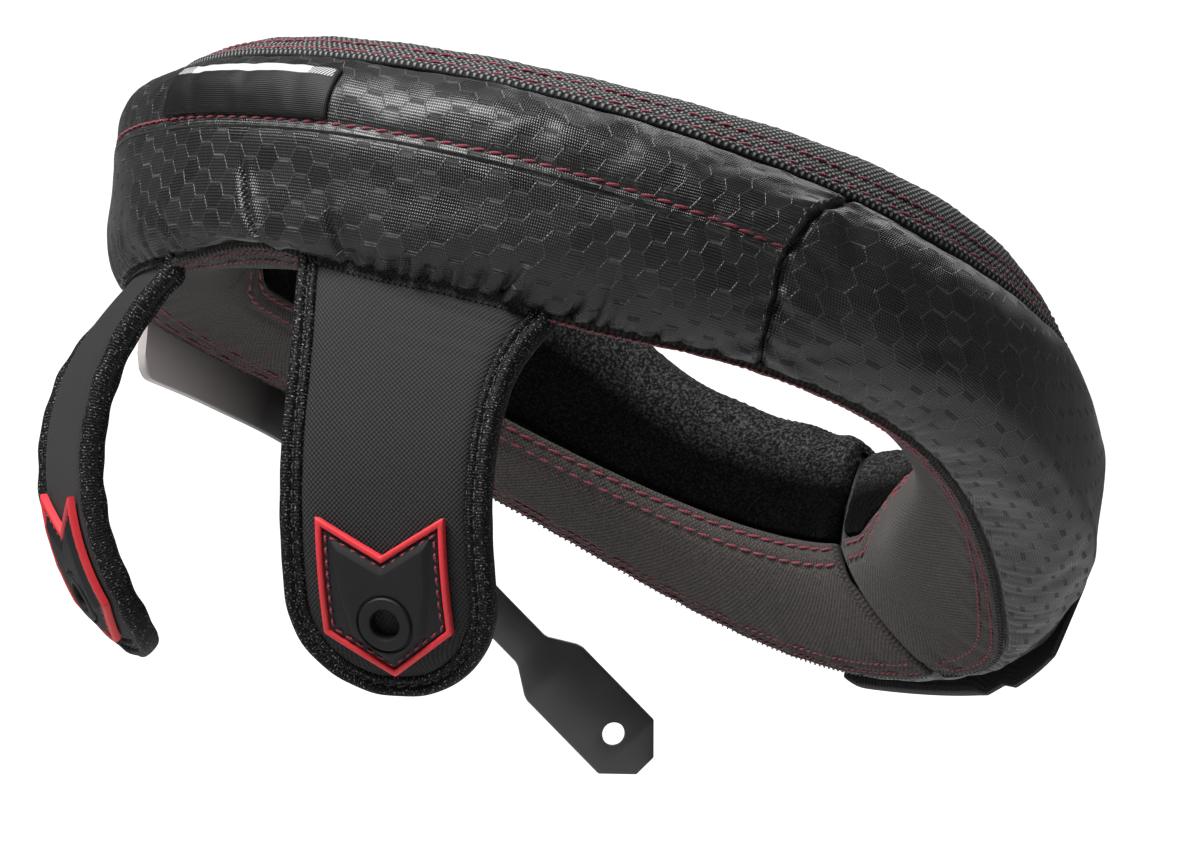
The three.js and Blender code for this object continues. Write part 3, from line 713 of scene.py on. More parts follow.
# Flap at the back's stitch row, in millimetres, and places across a face, closer at the hem and the flap
FLAP = {"below": 2.2, "height": 0.9}
SECTION_LENGTH = 154
FLAP_PLACES = PLACE["stitch"] - np.linspace(FLAP["below"] - 0.3, FLAP["below"] + 0.7, 6) / SECTION_LENGTH
HEM_PLACES = [0.003, 0.006]
EVEN_PLACES = np.linspace(PLACE["hem"], PLACE["seam"], 78)
FACE = np.unique(np.concatenate([EVEN_PLACES, HEM_PLACES, FLAP_PLACES]))
# Grooves of the face along the hem, the top seam, the arm seams and the stitch row: width and depth
HEM_GROOVE = (1.6, 1.6)
TOP_GROOVE = (1.3, 1.2)
ARM_GROOVE = (1.3, 1.6)
ROW_GROOVE = (0.7, 0.55)
# Deep puckers in the back pad: angle and height at the foot and at the head, in degrees and millimetres
PUCKERS = [
    {"foot": (11.8, 2), "head": (6.6, 25), "depth": 4.0, "width": 1.15, "lip": 1.1},
    {"foot": (23.2, 1), "head": (19.8, 17), "depth": 2.6, "width": 1.1, "lip": 0.8},
    {"foot": (-5, 2), "head": (-8, 14), "depth": 2.0, "width": 1.7, "lip": 0.8},
    {"foot": (31.2, 1), "head": (30.4, 10), "depth": 1.7, "width": 1.0, "lip": 1.1},
    {"foot": (36.6, 1), "head": (35.6, 8), "depth": 1.5, "width": 1.0, "lip": 1.0},
    {"foot": (42.4, 1), "head": (43.4, 14), "depth": 1.8, "width": 1.0, "lip": 1.3},
    {"foot": (51.6, 1), "head": (51.8, 7), "depth": 1.2, "width": 0.9, "lip": 0.9},
    {"foot": (63, 1), "head": (63, 7), "depth": 1.2, "width": 0.9, "lip": 0.9},
]
# Heights over which a pucker comes and goes, and its lip's place and width as shares of the pucker's width
FOOT_FADE = (-7, 3)
HEAD_FADE = (-6, 5)
LIP_PLACE = 1.9
LIP_WIDTH = 1.5
# Small gathers along the hem: from and to angle, spacing in millimetres, depth and length up the pad
GATHERS = [
    {"from": 20, "to": 60, "spacing": 6.3, "depth": 2.3, "length": 9},
    {"from": -45, "to": -4, "spacing": 7.3, "depth": 1.2, "length": 9},
    {"from": 56, "to": 76, "spacing": 7.5, "depth": 1.3, "length": 6},
    {"from": 80, "to": 168, "spacing": 4.4, "depth": 0.55, "length": 10},
    {"from": -178, "to": -80, "spacing": 4.4, "depth": 0.55, "length": 10},
]
GATHER_FADE = 4


def waves(position, *rows):
    """Sum of sines: each row is a wavelength, a size and a phase."""
    return sum(size * np.sin(2 * math.pi * position / length + phase) for length, size, phase in rows)


def groove(run, place, width, depth):
    """Depth of a soft groove across a run of millimetres, or of a ridge if the depth is below zero."""
    return depth * np.exp(-(((run - place) / width) ** 2))


def pucker_depth(angle, height):
    """Creases that run up from the hem, each with a raised lip on one side."""
    total = np.zeros_like(angle)
    for pucker in PUCKERS:
        (foot_angle, foot), (head_angle, head) = pucker["foot"], pucker["head"]
        width = pucker["width"]
        up = np.clip((height - foot) / (head - foot), 0, 1)
        middle = foot_angle + (head_angle - foot_angle) * up**0.8
        off = arc(angle - middle)
        begins = smooth_step(height, *(foot + fade for fade in FOOT_FADE))
        ends = smooth_step(height, *(head + fade for fade in HEAD_FADE))
        crease = groove(off, 0, width, pucker["depth"])
        lip = groove(off, LIP_PLACE * width, LIP_WIDTH * width, pucker["lip"])
        total += begins * (1 - ends) * (crease - lip)
    return total


def gather_depth(angle, height):
    """Small folds at the hem, with uneven spacing and length."""
    total = np.zeros_like(angle)
    run = arc(angle)
    drift = waves(run, (47, 0.9, 0.4), (23, 0.5, 1.9))
    uneven = 1 + waves(run, (31, 0.35, 0.7), (13, 0.25, 2.1))
    for row in GATHERS:
        begins = smooth_step(angle, row["from"], row["from"] + GATHER_FADE)
        ends = smooth_step(angle, row["to"] - GATHER_FADE, row["to"])
        depth = begins * (1 - ends) * row["depth"]
        fold = (1 - np.abs(np.sin(math.pi * run / row["spacing"] + drift))) ** 2
        total += groove(height, 0, row["length"] * uneven, depth * fold) * smooth_step(height, -2, 2)
    return total


def face_depth(angle, height, stitch_height, seam_height, seams):
    """Relief of the nylon face: foam swell, seams, folded flap, puckers and gathers."""
    run = arc(angle)
    inside = smooth_step(height, 2, 14)
    depth = waves(run + height * 0.7, (83, 0.35, 0.3), (51, 0.25, 1.7)) * inside
    depth += waves(height * 1.3 - run * 0.4, (37, 0.22, 0.9)) * inside
    depth += groove(height, 0, *HEM_GROOVE)
    depth += groove(height, seam_height, *TOP_GROOVE)
    for seam in seams:
        off = arc(np.abs(angle - seam))
        depth += groove(off, 0, *ARM_GROOVE)
        depth += 0.5 * np.exp(-off / 8) * waves(height + off * 0.3, (9.5, 1, 0.5), (5.6, 0.6, 2))
    if len(seams) == 2:
        flap_edge = stitch_height - FLAP["below"]
        above = smooth_step(height, flap_edge - 0.5, flap_edge + 0.1)
        depth -= FLAP["height"] * above * (1 - smooth_step(height, stitch_height + 8, seam_height - 6))
        depth += groove(height, stitch_height, *ROW_GROOVE)
        depth += groove(height, stitch_height, 2.5, waves(run, (4.4, 0.12, 0)))
        depth += pucker_depth(angle, height)
    return depth + gather_depth(angle, height)


def close_ends(start, finish, first_round, last_round, step):
    """Angles from one end to the other, closer together at the rounded ends."""
    ease = 1 - np.cos(np.linspace(0, math.pi / 2, END_POINTS))
    low = start + ease * first_round
    high = finish - ease[::-1] * last_round
    count = int(round((high[0] - low[-1]) / step))
    return np.concatenate([low, np.linspace(low[-1], high[0], count + 1)[1:-1], high])


def finer(angles, low, high, step):
    """The same angles, but closer together from low to high."""
    rest = angles[(angles < low) | (angles > high)]
    return np.sort(np.concatenate([rest, np.arange(low, high, step)]))


def bend(angle, at):
    """Where a place of the nylon lies on the ring, because its arm seams are bowed and slanted."""
    fade = np.sign(angle) * fading(np.abs(np.abs(angle) - ARM_SEAM), SEAM_BEND_LENGTH)
    share = at / PLACE["seam"]
    return angle + fade * (SEAM_BEND * np.sin(math.pi * share) + SEAM_SLANT * (2 * share - 1))


def read_vectors(items, field):
    """Vectors of some mesh items, one a row."""
    values = np.empty(len(items) * 3, np.float32)
    items.foreach_get(field, values)
    return values.reshape(-1, 3)


# Cloth simulation of the nylon: pressure, how much longer it is than its place, frames, the most that it
# moves and how far inside it starts in millimetres, degrees between its points, and points across it
CLOTH = {
    "pressure": 4,
    "slack": 0.012,
    "frames": 20,
    "limit": 2.0,
    "start": 1.2,
    "degrees": 1.6,
    "columns": 23,
}
# Share of the points' spacing that their depth is blended over
BLEND = 0.8


def puffed(start, outward, held):
    """Millimetres by which each point of a sheet of cloth puffs out, held at some points."""
    rows, columns = held.shape
    corner = (np.arange(rows - 1)[:, None] * columns + np.arange(columns - 1)).ravel()
    faces = np.stack([corner, corner + 1, corner + columns + 1, corner + columns], axis=-1)
    flat = start.reshape(-1, 3)
    facing = np.cross(flat[faces[:, 1]] - flat[faces[:, 0]], flat[faces[:, 3]] - flat[faces[:, 0]])
    if np.einsum("ij,ij->", facing, outward.reshape(-1, 3)[faces[:, 0]]) < 0:
        faces = faces[:, ::-1]
    mesh = bpy.data.meshes.new("cloth")
    mesh.from_pydata(flat.tolist(), [], faces.tolist())
    sheet = put("cloth", mesh)
    scene = bpy.context.scene
    sheet.vertex_groups.new(name="held").add(np.flatnonzero(held).tolist(), 1.0, "REPLACE")
    cloth = sheet.modifiers.new("cloth", "CLOTH")
    cloth.settings.vertex_group_mass = "held"
    cloth.settings.use_pressure = True
    cloth.settings.uniform_pressure_force = CLOTH["pressure"]
    cloth.settings.shrink_min = -CLOTH["slack"]
    cloth.settings.effector_weights.gravity = 0
    cloth.point_cache.frame_end = CLOTH["frames"]
    for number in range(1, CLOTH["frames"] + 1):
        scene.frame_set(number)
    moved = read_vectors(sheet.evaluated_get(bpy.context.evaluated_depsgraph_get()).data.vertices, "co")
    bpy.data.objects.remove(sheet)
    scene.frame_set(1)
    rise = np.einsum("ij,ij->i", moved - flat, outward.reshape(-1, 3)) / MM
    return np.clip(rise, -CLOTH["limit"], CLOTH["limit"]).reshape(held.shape)


def blend(fine, coarse, spread):
    """Weights that carry values at coarse places to fine ones."""
    weight = np.exp(-(((fine[:, None] - coarse) / spread) ** 2))
    return weight / weight.sum(axis=1, keepdims=True)


def puffed_nylon():
    """Angles and places of the nylon's sheet, and how deep it lies once it has puffed out."""
    stops = [LEFT_END, -ARM_SEAM, ARM_SEAM, RIGHT_END]
    parts = []
    for low, high in zip(stops, stops[1:]):
        parts.append(np.linspace(low, high, int((high - low) / CLOTH["degrees"]), endpoint=False))
    angles = np.concatenate(parts + [[RIGHT_END]])
    places = np.linspace(PLACE["hem"], PLACE["seam"], CLOTH["columns"])
    low = CLOTH["start"] * np.sqrt(np.sin(math.pi * places / PLACE["seam"]).clip(0))
    bent = bend(angles[:, None], places)
    start = to_world(shell(bent, places, low))
    outward = unit(start - to_world(shell(bent, places, low + 1)))
    held = np.zeros(bent.shape, bool)
    held[:, [0, -1]] = True
    held[[0, -1]] = True
    held[np.abs(np.abs(angles) - ARM_SEAM) < 0.01] = True
    on_back = np.abs(angles) < ARM_SEAM
    held[on_back, np.abs(places - PLACE["stitch"]).argmin()] = True
    return angles, places, low - puffed(start, outward, held)


PUFF_ANGLES, PUFF_PLACES, PUFF_DEPTH = puffed_nylon()
PUFF_ACROSS = blend(FACE, PUFF_PLACES, BLEND * PUFF_PLACES[1])


def face_grid(angle, seams):
    """Bent angle, depth and height above the hem over a pad's nylon face, for rows at some angles."""
    angle = np.asarray(angle, float)[:, None]
    seams = np.array(seams)
    bent = bend(angle, FACE)
    height = run_across(shell(bent, FACE))
    stitch_height = np.array([np.interp(PLACE["stitch"], FACE, row) for row in height])[:, None]
    depth = face_depth(np.broadcast_to(angle, bent.shape), height, stitch_height, height[:, -1:], seams)
    depth += blend(angle[:, 0], PUFF_ANGLES, BLEND * CLOTH["degrees"]) @ PUFF_DEPTH @ PUFF_ACROSS.T
    return bent, depth, height


def on_face(angle, at, lift, seams):
    """Points on the relief of a pad's face for one place, or several, at each angle."""
    bent, depth, _ = face_grid(angle, seams)
    at = np.asarray(at, float).reshape(len(angle), -1)

    def pick(values):
        return np.stack([np.interp(places, FACE, row) for places, row in zip(at, values)])

    return to_world(shell(pick(bent), at, pick(depth) - lift))


def face_route(angle, at, lift, seams):
    """A route on the relief of a pad's face with its outward normals."""
    here = on_face(angle, at, lift, seams)[:, 0]
    return here, unit(on_face(angle, at, lift + 1, seams)[:, 0] - here)


def domed(front, rise):
    """Rows that close the end of an arm with a low dome beyond its last row."""
    middle = front.mean(axis=0, keepdims=True)
    rows = [middle + (front - middle) * math.cos(turn) + rise * math.sin(turn) for turn in DOME_TURNS]
    return np.stack(rows)


def pad_piece(name, start, finish, seams):
    """One section of the padded ring: its nylon face, and a plain rear that the other cloths hide."""
    arm_start, arm_finish = start == LEFT_END, finish == RIGHT_END
    first, last = (END_ROUND if is_open else SEAM_ROUND for is_open in (arm_start, arm_finish))
    angles = close_ends(start, finish, first, last, PAD_STEP)
    stops = [PLACE[stop] for stop in ("seam", "rim", "neck", "fleece", "under")] + [1]
    stretches = zip(stops, stops[1:], BACK_ROWS)
    back = np.concatenate([np.linspace(low, high, rows, endpoint=False) for low, high, rows in stretches])
    bent, depth, _ = face_grid(angles, seams)
    behind = np.where(back < PLACE["rim"] - EDGE, COVER, FLEECE) + PAD_CLEARANCE
    rear = shell(angles[:, None], back, behind)
    points = np.concatenate([shell(bent, FACE, depth), rear], axis=1)
    plain = np.concatenate([shell(bent, FACE), rear], axis=1)
    along = arc(angles)
    turn = math.radians(OPENING_ANGLE)
    rise = np.array([math.cos(turn), math.sin(turn), 0]) * ARM_DOME
    beyond = np.arange(len(DOME_TURNS)) + 1
    if arm_finish:
        points, plain = (np.concatenate([grid, domed(grid[-1], rise)]) for grid in (points, plain))
        along = np.concatenate([along, along[-1] + beyond])
    if arm_start:
        points, plain = (np.concatenate([domed(grid[0], -rise)[::-1], grid]) for grid in (points, plain))
        along = np.concatenate([along[0] - beyond[::-1], along])
    weave = on_cloth(along[:, None], run_across(plain))
    obj = finished(name, to_world(points), NYLON, weave)


SEAMS_OF = {"back": [-ARM_SEAM, ARM_SEAM], "left": [-ARM_SEAM], "right": [ARM_SEAM]}
pad_piece("pad_back", -ARM_SEAM + SEAM_GAP, ARM_SEAM - SEAM_GAP, SEAMS_OF["back"])
pad_piece("pad_left_arm", LEFT_END, -ARM_SEAM - SEAM_GAP, SEAMS_OF["left"])
pad_piece("pad_right_arm", ARM_SEAM + SEAM_GAP, RIGHT_END, SEAMS_OF["right"])


# Covers of the top, the neck side and the underside


# Cloths of the covers: thickness, points across, rounding of the edges, material and slot
TOP_CLOTH = (COVER, 34, 1.0, BALLISTIC, "ballistic")
UNDER_CLOTH = (UNDERLAY, 52, 1.0, NEOPRENE, "neoprene")
LINING_CLOTH = (FLEECE, 44, 1.8, FLEECE_PILE, "fleece")
# Crowding of a cover's points towards its edges, shares of its thickness that an edge and an end lose,
# millimetres over which its relief starts, and the step between its angles
CROWDING = 0.08
EDGE_LOSS = 0.5
END_LOSS = 0.45
RELIEF_START = 1.5
COVER_STEP = 0.8
# Sewn rows, in millimetres from the cover's outer edge, the lining's edge and the hem
TOP_ROWS = (3.0, 7.3)
LINING_ROWS = (2.7, 7.5)
HEM_ROWS = (2.4, 5.6)
# Stretch with a finer step: from angle, to angle and step
FINE_END = (157, 167, 0.3)


def cover_piece(name, angles, low, high, cloth, relief, from_hem=False):
    """A thick cloth between two lines of the ring, with rounded edges and a relief on its face."""
    thick, rows, rounding, material, slot = cloth
    share = np.linspace(0, 1, rows)
    share = share - np.sin(2 * math.pi * share) * CROWDING
    at = low[:, None] + (high - low)[:, None] * share
    angle = np.broadcast_to(angles[:, None], at.shape)
    plain = shell(angle, at)
    run = run_across(plain)
    total = run[:, -1:]
    edge = np.minimum(run, total - run)
    near = quarter(fading(edge, rounding))
    near_end = quarter(fading(from_end(angle) * DEGREE, rounding))
    depth = thick * (EDGE_LOSS * near + END_LOSS * near_end)
    depth = depth + relief(angle, run, total) * smooth_step(edge, 0, RELIEF_START)
    under = [0, rows // 3, 2 * rows // 3, rows - 1][::-1]
    outer = shell(angle, at, depth)
    inner = shell(angle[:, under], at[:, under], thick)
    points = np.concatenate([outer, inner], axis=1)
    around = angles[:, None] * math.pi / 180 * np.hypot(plain[..., 0], plain[..., 1]).mean()
    across = np.concatenate([run, 2 * total - run[:, under]], axis=1)
    if from_hem:
        across = total - across
    finished(name, to_world(points), material, on_cloth(around, across))


def top_relief(angle, run, total):
    """A folded edge, two sewn rows with a swell between them, and a ripple."""
    fold = groove(run, 1.5, 1.6, -0.45)
    rows = sum(groove(run, place, 0.9, 0.35) for place in TOP_ROWS)
    swell = groove(run, (TOP_ROWS[0] + TOP_ROWS[1]) / 2, 1.3, -0.25)
    ripple = 0.12 * waves(arc(angle), (4.4, 1, 0), (29, 1.2, 1)) * smooth_step(run, 0, 3)
    return fold + rows + swell + ripple


def fleece_relief(angle, run, total):
    """Soft swells and small tufts."""
    around = arc(angle)
    tufts = waves(around * 0.8 + run, (3.1, 0.1, 0.2)) + waves(around - run * 0.7, (4.3, 0.12, 1.1))
    return waves(around, (37, 0.35, 0.4)) * waves(run, (23, 1, 0)) + tufts - 0.2


def under_relief(angle, run, total):
    """Sewn rows at both edges, and a ripple and a fold along the hem."""
    rows = sum(groove(run, place, 1.0, 0.45) for place in LINING_ROWS)
    hems = sum(groove(total - run, place, 1.0, 0.4) for place in HEM_ROWS)
    ripple = waves(arc(angle), (9.5, 0.15, 0.3), (17, 0.2, 1.4)) * groove(total - run, 5, 7, 1)
    return rows + hems + ripple + groove(total - run, 1.2, 1.2, -0.3)


def ring_covers():
    """The covers that go all round, over the top and under the ring."""
    angles = finer(close_ends(LEFT_END, RIGHT_END, END_ROUND, END_ROUND, COVER_STEP), *FINE_END)
    seam = np.full_like(angles, PLACE["seam"] + 2 * EDGE)
    hem = np.full_like(angles, 1 - EDGE)
    cover_piece("top_cover", angles, seam, cover_edge(angles) - EDGE, TOP_CLOTH, top_relief)
    cover_piece("underside_panel", angles, lining_edge(angles) + EDGE, hem, UNDER_CLOTH, under_relief, True)


def neck_lining(side, angles):
    """The fleece of one arm."""
    low, high = cover_edge(angles) + EDGE, lining_edge(angles) - EDGE
    cover_piece(f"neck_lining_{side}", angles, low, high, LINING_CLOTH, fleece_relief)


ring_covers()
neck_lining("left", close_ends(LEFT_END, -LINING_START, END_ROUND, LINING_CORNER, COVER_STEP))
right_arm = close_ends(LINING_START, RIGHT_END, LINING_CORNER, END_ROUND, COVER_STEP)
neck_lining("right", finer(right_arm, *FINE_END))


# Label


# Angles of the label's ends, its edges as shares of the way from stitch row to seam, its points along and
# across, its thickness, and the heights of its underside and of the foot of its face
LABEL_ENDS = (-10, 18)
LABEL_EDGES = (0.03, 0.57)
LABEL_POINTS = (60, 22)
LABEL_THICK = 0.8
LABEL_BASE = 0.3
LABEL_LOW = 0.35


def label_piece():
    """The label, which follows the relief of the back."""
    count = LABEL_POINTS[0]
    angles = np.linspace(*LABEL_ENDS, count)
    share = np.linspace(*LABEL_EDGES, LABEL_POINTS[1])
    at = PLACE["stitch"] + (PLACE["seam"] - PLACE["stitch"]) * share
    at = np.broadcast_to(at, (len(angles), len(at)))
    edge = np.minimum(np.linspace(0, 1, count), np.linspace(1, 0, count))[:, None] * LABEL_LENGTH
    lift = LABEL_LOW + LABEL_THICK * smooth_step(edge, -0.6, 0.8)
    top = on_face(angles, at, lift, SEAMS_OF["back"])
    low = on_face(angles, at, LABEL_BASE, SEAMS_OF["back"])
    points = np.concatenate([top, low[:, ::-1]], axis=1)
    along = np.linspace(0, LABEL_LENGTH, count)[:, None]
    rise = LABEL_HEIGHT * np.concatenate([share, share[::-1]])
    rise = (rise - LABEL_HEIGHT * share[0]) / (share[-1] - share[0])
    finished("back_label", points, LABEL, on_cloth(along, rise))


label_piece()


# Closure strap at the front


CLOSURE = {"from": 156, "to": 195.5, "low": -29, "high": -5, "offset": 1, "tuck": 1.5}
# Thickness and rise of the closure strap: angle, thickness, rise
CLOSURE_ROWS = [
    (156, 1.8, 8),
    (160, 1.8, 5),
    (165, 2.2, 2),
    (168, 2.2, 3.2),
    (171, 2.2, 0.6),
    (174, 4.6, 1.5),
    (191, 4.8, 0.6),
    (195.5, 4.8, 0.4),
]
# Points along the closure strap and round it, and the degrees over which its end gets thinner
CLOSURE_POINTS = (75, 40)
CLOSURE_END = 3


def blunt(values, power):
    """Values between -1 and 1 drawn outwards, which squares off a round section."""
    return np.sign(values) * np.abs(values) ** power


def closure_piece():
    """Webbing that closes the front, over the ends of both arms."""
    angles = np.linspace(CLOSURE["from"], CLOSURE["to"], CLOSURE_POINTS[0])
    spots, thicks, rises = np.array(CLOSURE_ROWS, float).T
    thick = np.interp(angles, spots, thicks)
    rise = np.interp(angles, spots, rises)
    base = line_points(angles)[:, NAMES.index("bulge")]
    out = outwards(np.radians(angles))
    half = (CLOSURE["high"] - CLOSURE["low"]) / 2
    corner = np.linspace(0, 2 * math.pi, CLOSURE_POINTS[1], endpoint=False)
    flat = blunt(np.cos(corner), 0.5)
    tall = blunt(np.sin(corner), 0.25)
    end = np.clip((angles - angles[-1] + CLOSURE_END) / CLOSURE_END, 0, 1)
    size = np.sqrt(1 - (0.75 * end) ** 2)
    offset = thick[:, None] / 2 * (1 + flat * size[:, None])
    height = CLOSURE["low"] + half + half * tall * (1 - 0.15 * end[:, None] ** 2)
    inward = CLOSURE["tuck"] * (CLOSURE["high"] - height) / (2 * half)
    points = base[:, None] * [1, 1, 0] + out[:, None] * (CLOSURE["offset"] + offset - inward)[..., None]
    points[..., 2] = height + rise[:, None]
    weave = on_cloth(arc(angles[:, None]), run_across(points))
    finished("closure_strap", to_world(points), WEBBING, weave)


closure_piece()


# Tabs with their bindings and shields


TAB_LENGTH = 112
TAB_HALF_TOP = 32
TAB_HALF = 28.5
TAB_TAPER = 30
TAB_FLARE = 5.5
TAB_FLARE_LENGTH = 62
TAB_FOLLOW = 70
TAB_TOP = -4
TAB_THICK = 5
TAB_DROP_IN = -6
BINDING_WIDTH = 6.4
BINDING_THICK = 6.6
TAB_LAP = 0.6
TABS = [
    {"name": "right", "angle": 31, "lean": (34, -33), "turn": 0},
    {"name": "left", "angle": -25, "lean": (44, -47), "turn": 2},
]
# Fall of a tab's pad at its edge, and its creases: length down the tab and sides that they fade between
TAB_EDGE = {"rise": 0.15, "fall": 1.3, "width": 1.6}
CREASE_LENGTH = 17
CREASE_SIDES = (-12, 22)
# Points of a tab's pad down its sides, round its tip and across it, and the angle where the tip stops
TAB_POINTS = {"down": 70, "tip": 24, "across": 45}
TAB_TIP = 84
SHIELD = {"notch": 71.8, "slope": 10, "tip": 104, "point": 12, "half": 17.5, "base": -0.3, "hole": 89}
RIM_WIDTH = 1.6
RIM_THICK = 2.0


class TabSurface:
    """The bent sheet that a tab hangs along: millimetres along, to the side and out give a point."""

    def __init__(self, tab):
        self.angle = tab["angle"]
        self.start, self.finish = np.radians(tab["lean"])
        turn = math.radians(tab["angle"] + tab["turn"])
        self.outward = np.array([math.sin(turn), -math.cos(turn), 0])
        self.across = np.array([math.cos(turn), math.sin(turn), 0])
        self.root = self.hem(np.array([float(self.angle)]))[0]

    def hem(self, angle):
        """Points of the hem in the part's frame, in millimetres."""
        return to_world(line_points(angle)[:, NAMES.index("hem")]) / MM

    def at(self, along, side, out):
        """Points of the sheet in the part's frame. Above the hem it goes straight up."""
        along, side, out = np.broadcast_arrays(*(np.asarray(value, float) for value in (along, side, out)))
        bend = (self.finish - self.start) / TAB_LENGTH
        tuck = np.maximum(-along, 0)
        along = np.maximum(along, 0)
        lean = self.start + bend * along
        bow = (math.cos(self.start) - np.cos(lean)) / bend
        drop = (np.sin(lean) - math.sin(self.start)) / bend
        follow = fading(along, TAB_FOLLOW) ** 2
        angle = self.angle + np.degrees(side / LINES["hem"][0])
        offset = (self.hem(angle.ravel()) - self.root).reshape(side.shape + (3,))
        forward = bow + out * np.cos(lean) + follow * (offset @ self.outward)
        upward = tuck - drop + out * np.sin(lean) + follow * offset[..., 2]
        flat = self.root + forward[..., None] * self.outward + side[..., None] * self.across
        flat[..., 2] += upward
        return flat * MM

    def route(self, along, side, out):
        """A route on the sheet with its outward normals."""
        here = self.at(along, side, out)
        return here, unit(self.at(along, side, np.asarray(out) + 1) - here)


def tab_half(along):
    """Half width of a tab without its flare."""
    half = TAB_HALF_TOP + (TAB_HALF - TAB_HALF_TOP) * np.sin(np.clip(along / TAB_TAPER, 0, 1) * math.pi / 2)
    tip = np.clip((along - (TAB_LENGTH - TAB_HALF)) / TAB_HALF, 0, 1)
    return half * np.sqrt(1 - tip**2)


def tab_sides(tab, along, inset):
    """Half widths of a tab to its right and to its left, which flares towards the arm that it is next to."""
    half = tab_half(along) - inset
    flared = half + TAB_FLARE * fading(along, TAB_FLARE_LENGTH) ** 1.5
    return (flared, half) if tab["angle"] > 0 else (half, flared)


def tab_outline(tab, inset, step):
    """Places along the edge of a tab, down one side and up the other, at some inset."""
    centre, radius = TAB_LENGTH - TAB_HALF, TAB_HALF - inset
    down = np.linspace(TAB_TOP, centre, int(centre / step))
    turn = np.linspace(0, math.pi, int(math.pi * radius / step))[1:-1]
    right, left = tab_sides(tab, down, inset)
    along = np.concatenate([down, centre + radius * np.sin(turn), down[::-1]])
    return along, np.concatenate([right, radius * np.cos(turn), -left[::-1]])


def tab_pad(tab, surface):
    """The padded face of a tab, with creases below the hem."""
    inset = BINDING_WIDTH - TAB_LAP
    centre, radius = TAB_LENGTH - TAB_HALF, TAB_HALF - inset
    down = np.linspace(TAB_TOP, centre, TAB_POINTS["down"])
    turn = np.radians(np.linspace(0, TAB_TIP, TAB_POINTS["tip"]))[1:]
    along = np.concatenate([down, centre + radius * np.sin(turn)])[:, None]
    right, left = (np.append(side, radius * np.cos(turn))[:, None] for side in tab_sides(tab, down, inset))
    share = np.linspace(-1, 1, TAB_POINTS["across"])
    high = TAB_DROP_IN + TAB_THICK
    side = np.where(share > 0, right, left) * share
    edge = np.minimum(np.minimum(right - side, left + side), np.maximum(TAB_LENGTH - inset - along, 0))
    out = high + TAB_EDGE["rise"] - TAB_EDGE["fall"] * np.exp(-np.maximum(edge, 0) / TAB_EDGE["width"])
    creases = waves(along - side * 0.12, (4.3, 0.2, 0.4), (6.7, 0.2, 1.2))
    creases = groove(along, 0, CREASE_LENGTH, creases * smooth_step(edge, 0, 3))
    out = out + creases * smooth_step(side, *CREASE_SIDES)
    top = surface.at(along, side, out)
    low = surface.at(along, side[:, ::-7], TAB_DROP_IN)
    points = np.concatenate([top, low], axis=1)
    weave = on_cloth(along, run_across(points / MM))
    obj = finished(f"tab_{tab['name']}_pad", points, CANVAS, weave)


# Section of the binding: reach outwards and height, as shares of its half width and half thickness
BINDING_SECTION = [
    (1.0, 0.0),
    (0.98, 0.35),
    (0.90, 0.66),
    (0.74, 0.88),
    (0.52, 0.99),
    (0.28, 0.98),
    (0.08, 0.88),
    (-0.06, 0.70),
    (-0.16, 0.60),
    (-0.28, 0.66),
    (-0.42, 0.80),
    (-0.60, 0.84),
    (-0.80, 0.76),
    (-0.94, 0.58),
    (-1.0, 0.35),
    (-1.0, 0.0),
    (-1.0, -0.5),
    (-0.8, -0.85),
    (-0.3, -0.95),
    (0.3, -0.98),
    (0.7, -0.88),
    (0.92, -0.6),
    (0.99, -0.3),
]
# Groove of that section: distance inwards and height, as the same shares, and the steps along both outlines
BINDING_GROOVE = (0.16, 0.62)
BINDING_STEP = 1.4
GROOVE_STEP = 1.0


def tab_binding(tab, surface):
    """Tape folded round the edge of a tab."""
    along, side = tab_outline(tab, BINDING_WIDTH / 2, BINDING_STEP)
    run, rise = np.gradient(along), np.gradient(side)
    length = np.hypot(run, rise)
    section = np.array(BINDING_SECTION)
    travel = np.concatenate([[0], np.hypot(np.diff(along), np.diff(side)).cumsum()])
    puff = 1 + 0.05 * waves(travel, (11, 1, 0.2), (17, 0.8, 1.1))[:, None]
    reach = BINDING_WIDTH / 2 * section[:, 0]
    out = TAB_DROP_IN + TAB_THICK / 2 + BINDING_THICK / 2 * section[:, 1] * puff
    points = surface.at(
        along[:, None] - reach * (rise / length)[:, None],
        side[:, None] + reach * (run / length)[:, None],
        out,
    )
    weave = on_cloth(travel[:, None], run_across(points / MM))
    finished(f"tab_{tab['name']}_binding", points, BINDING, weave)


def both_sides(top, side, low):
    """An outline from its top down one side and up the other, which mirrors it: side and along."""
    return np.array([top, *side, low, *((-across, along) for across, along in side[::-1])])


def shield_corners(inset):
    """Corners of the shield's outline at some inset: side and along, round it."""
    half = SHIELD["half"] - inset
    top_slope = SHIELD["slope"] / SHIELD["half"]
    low_slope = SHIELD["point"] / SHIELD["half"]
    top = SHIELD["notch"] + inset * math.hypot(1, top_slope)
    low = SHIELD["tip"] - inset * math.hypot(1, low_slope)
    side = [(half, top - top_slope * half), (half, low - low_slope * half)]
    return both_sides((0, top), side, (0, low))


# Share of an edge by which a direction may miss a corner, directions round the hole, and the least radians
# between one of them and a corner
CORNER_SLACK = 1e-6
SHIELD_POINTS = 168
CORNER_CLEAR = 0.012


def rays(directions):
    """Unit vectors in some directions, in the plane of a shield."""
    return np.stack([np.cos(directions), np.sin(directions)], axis=-1)


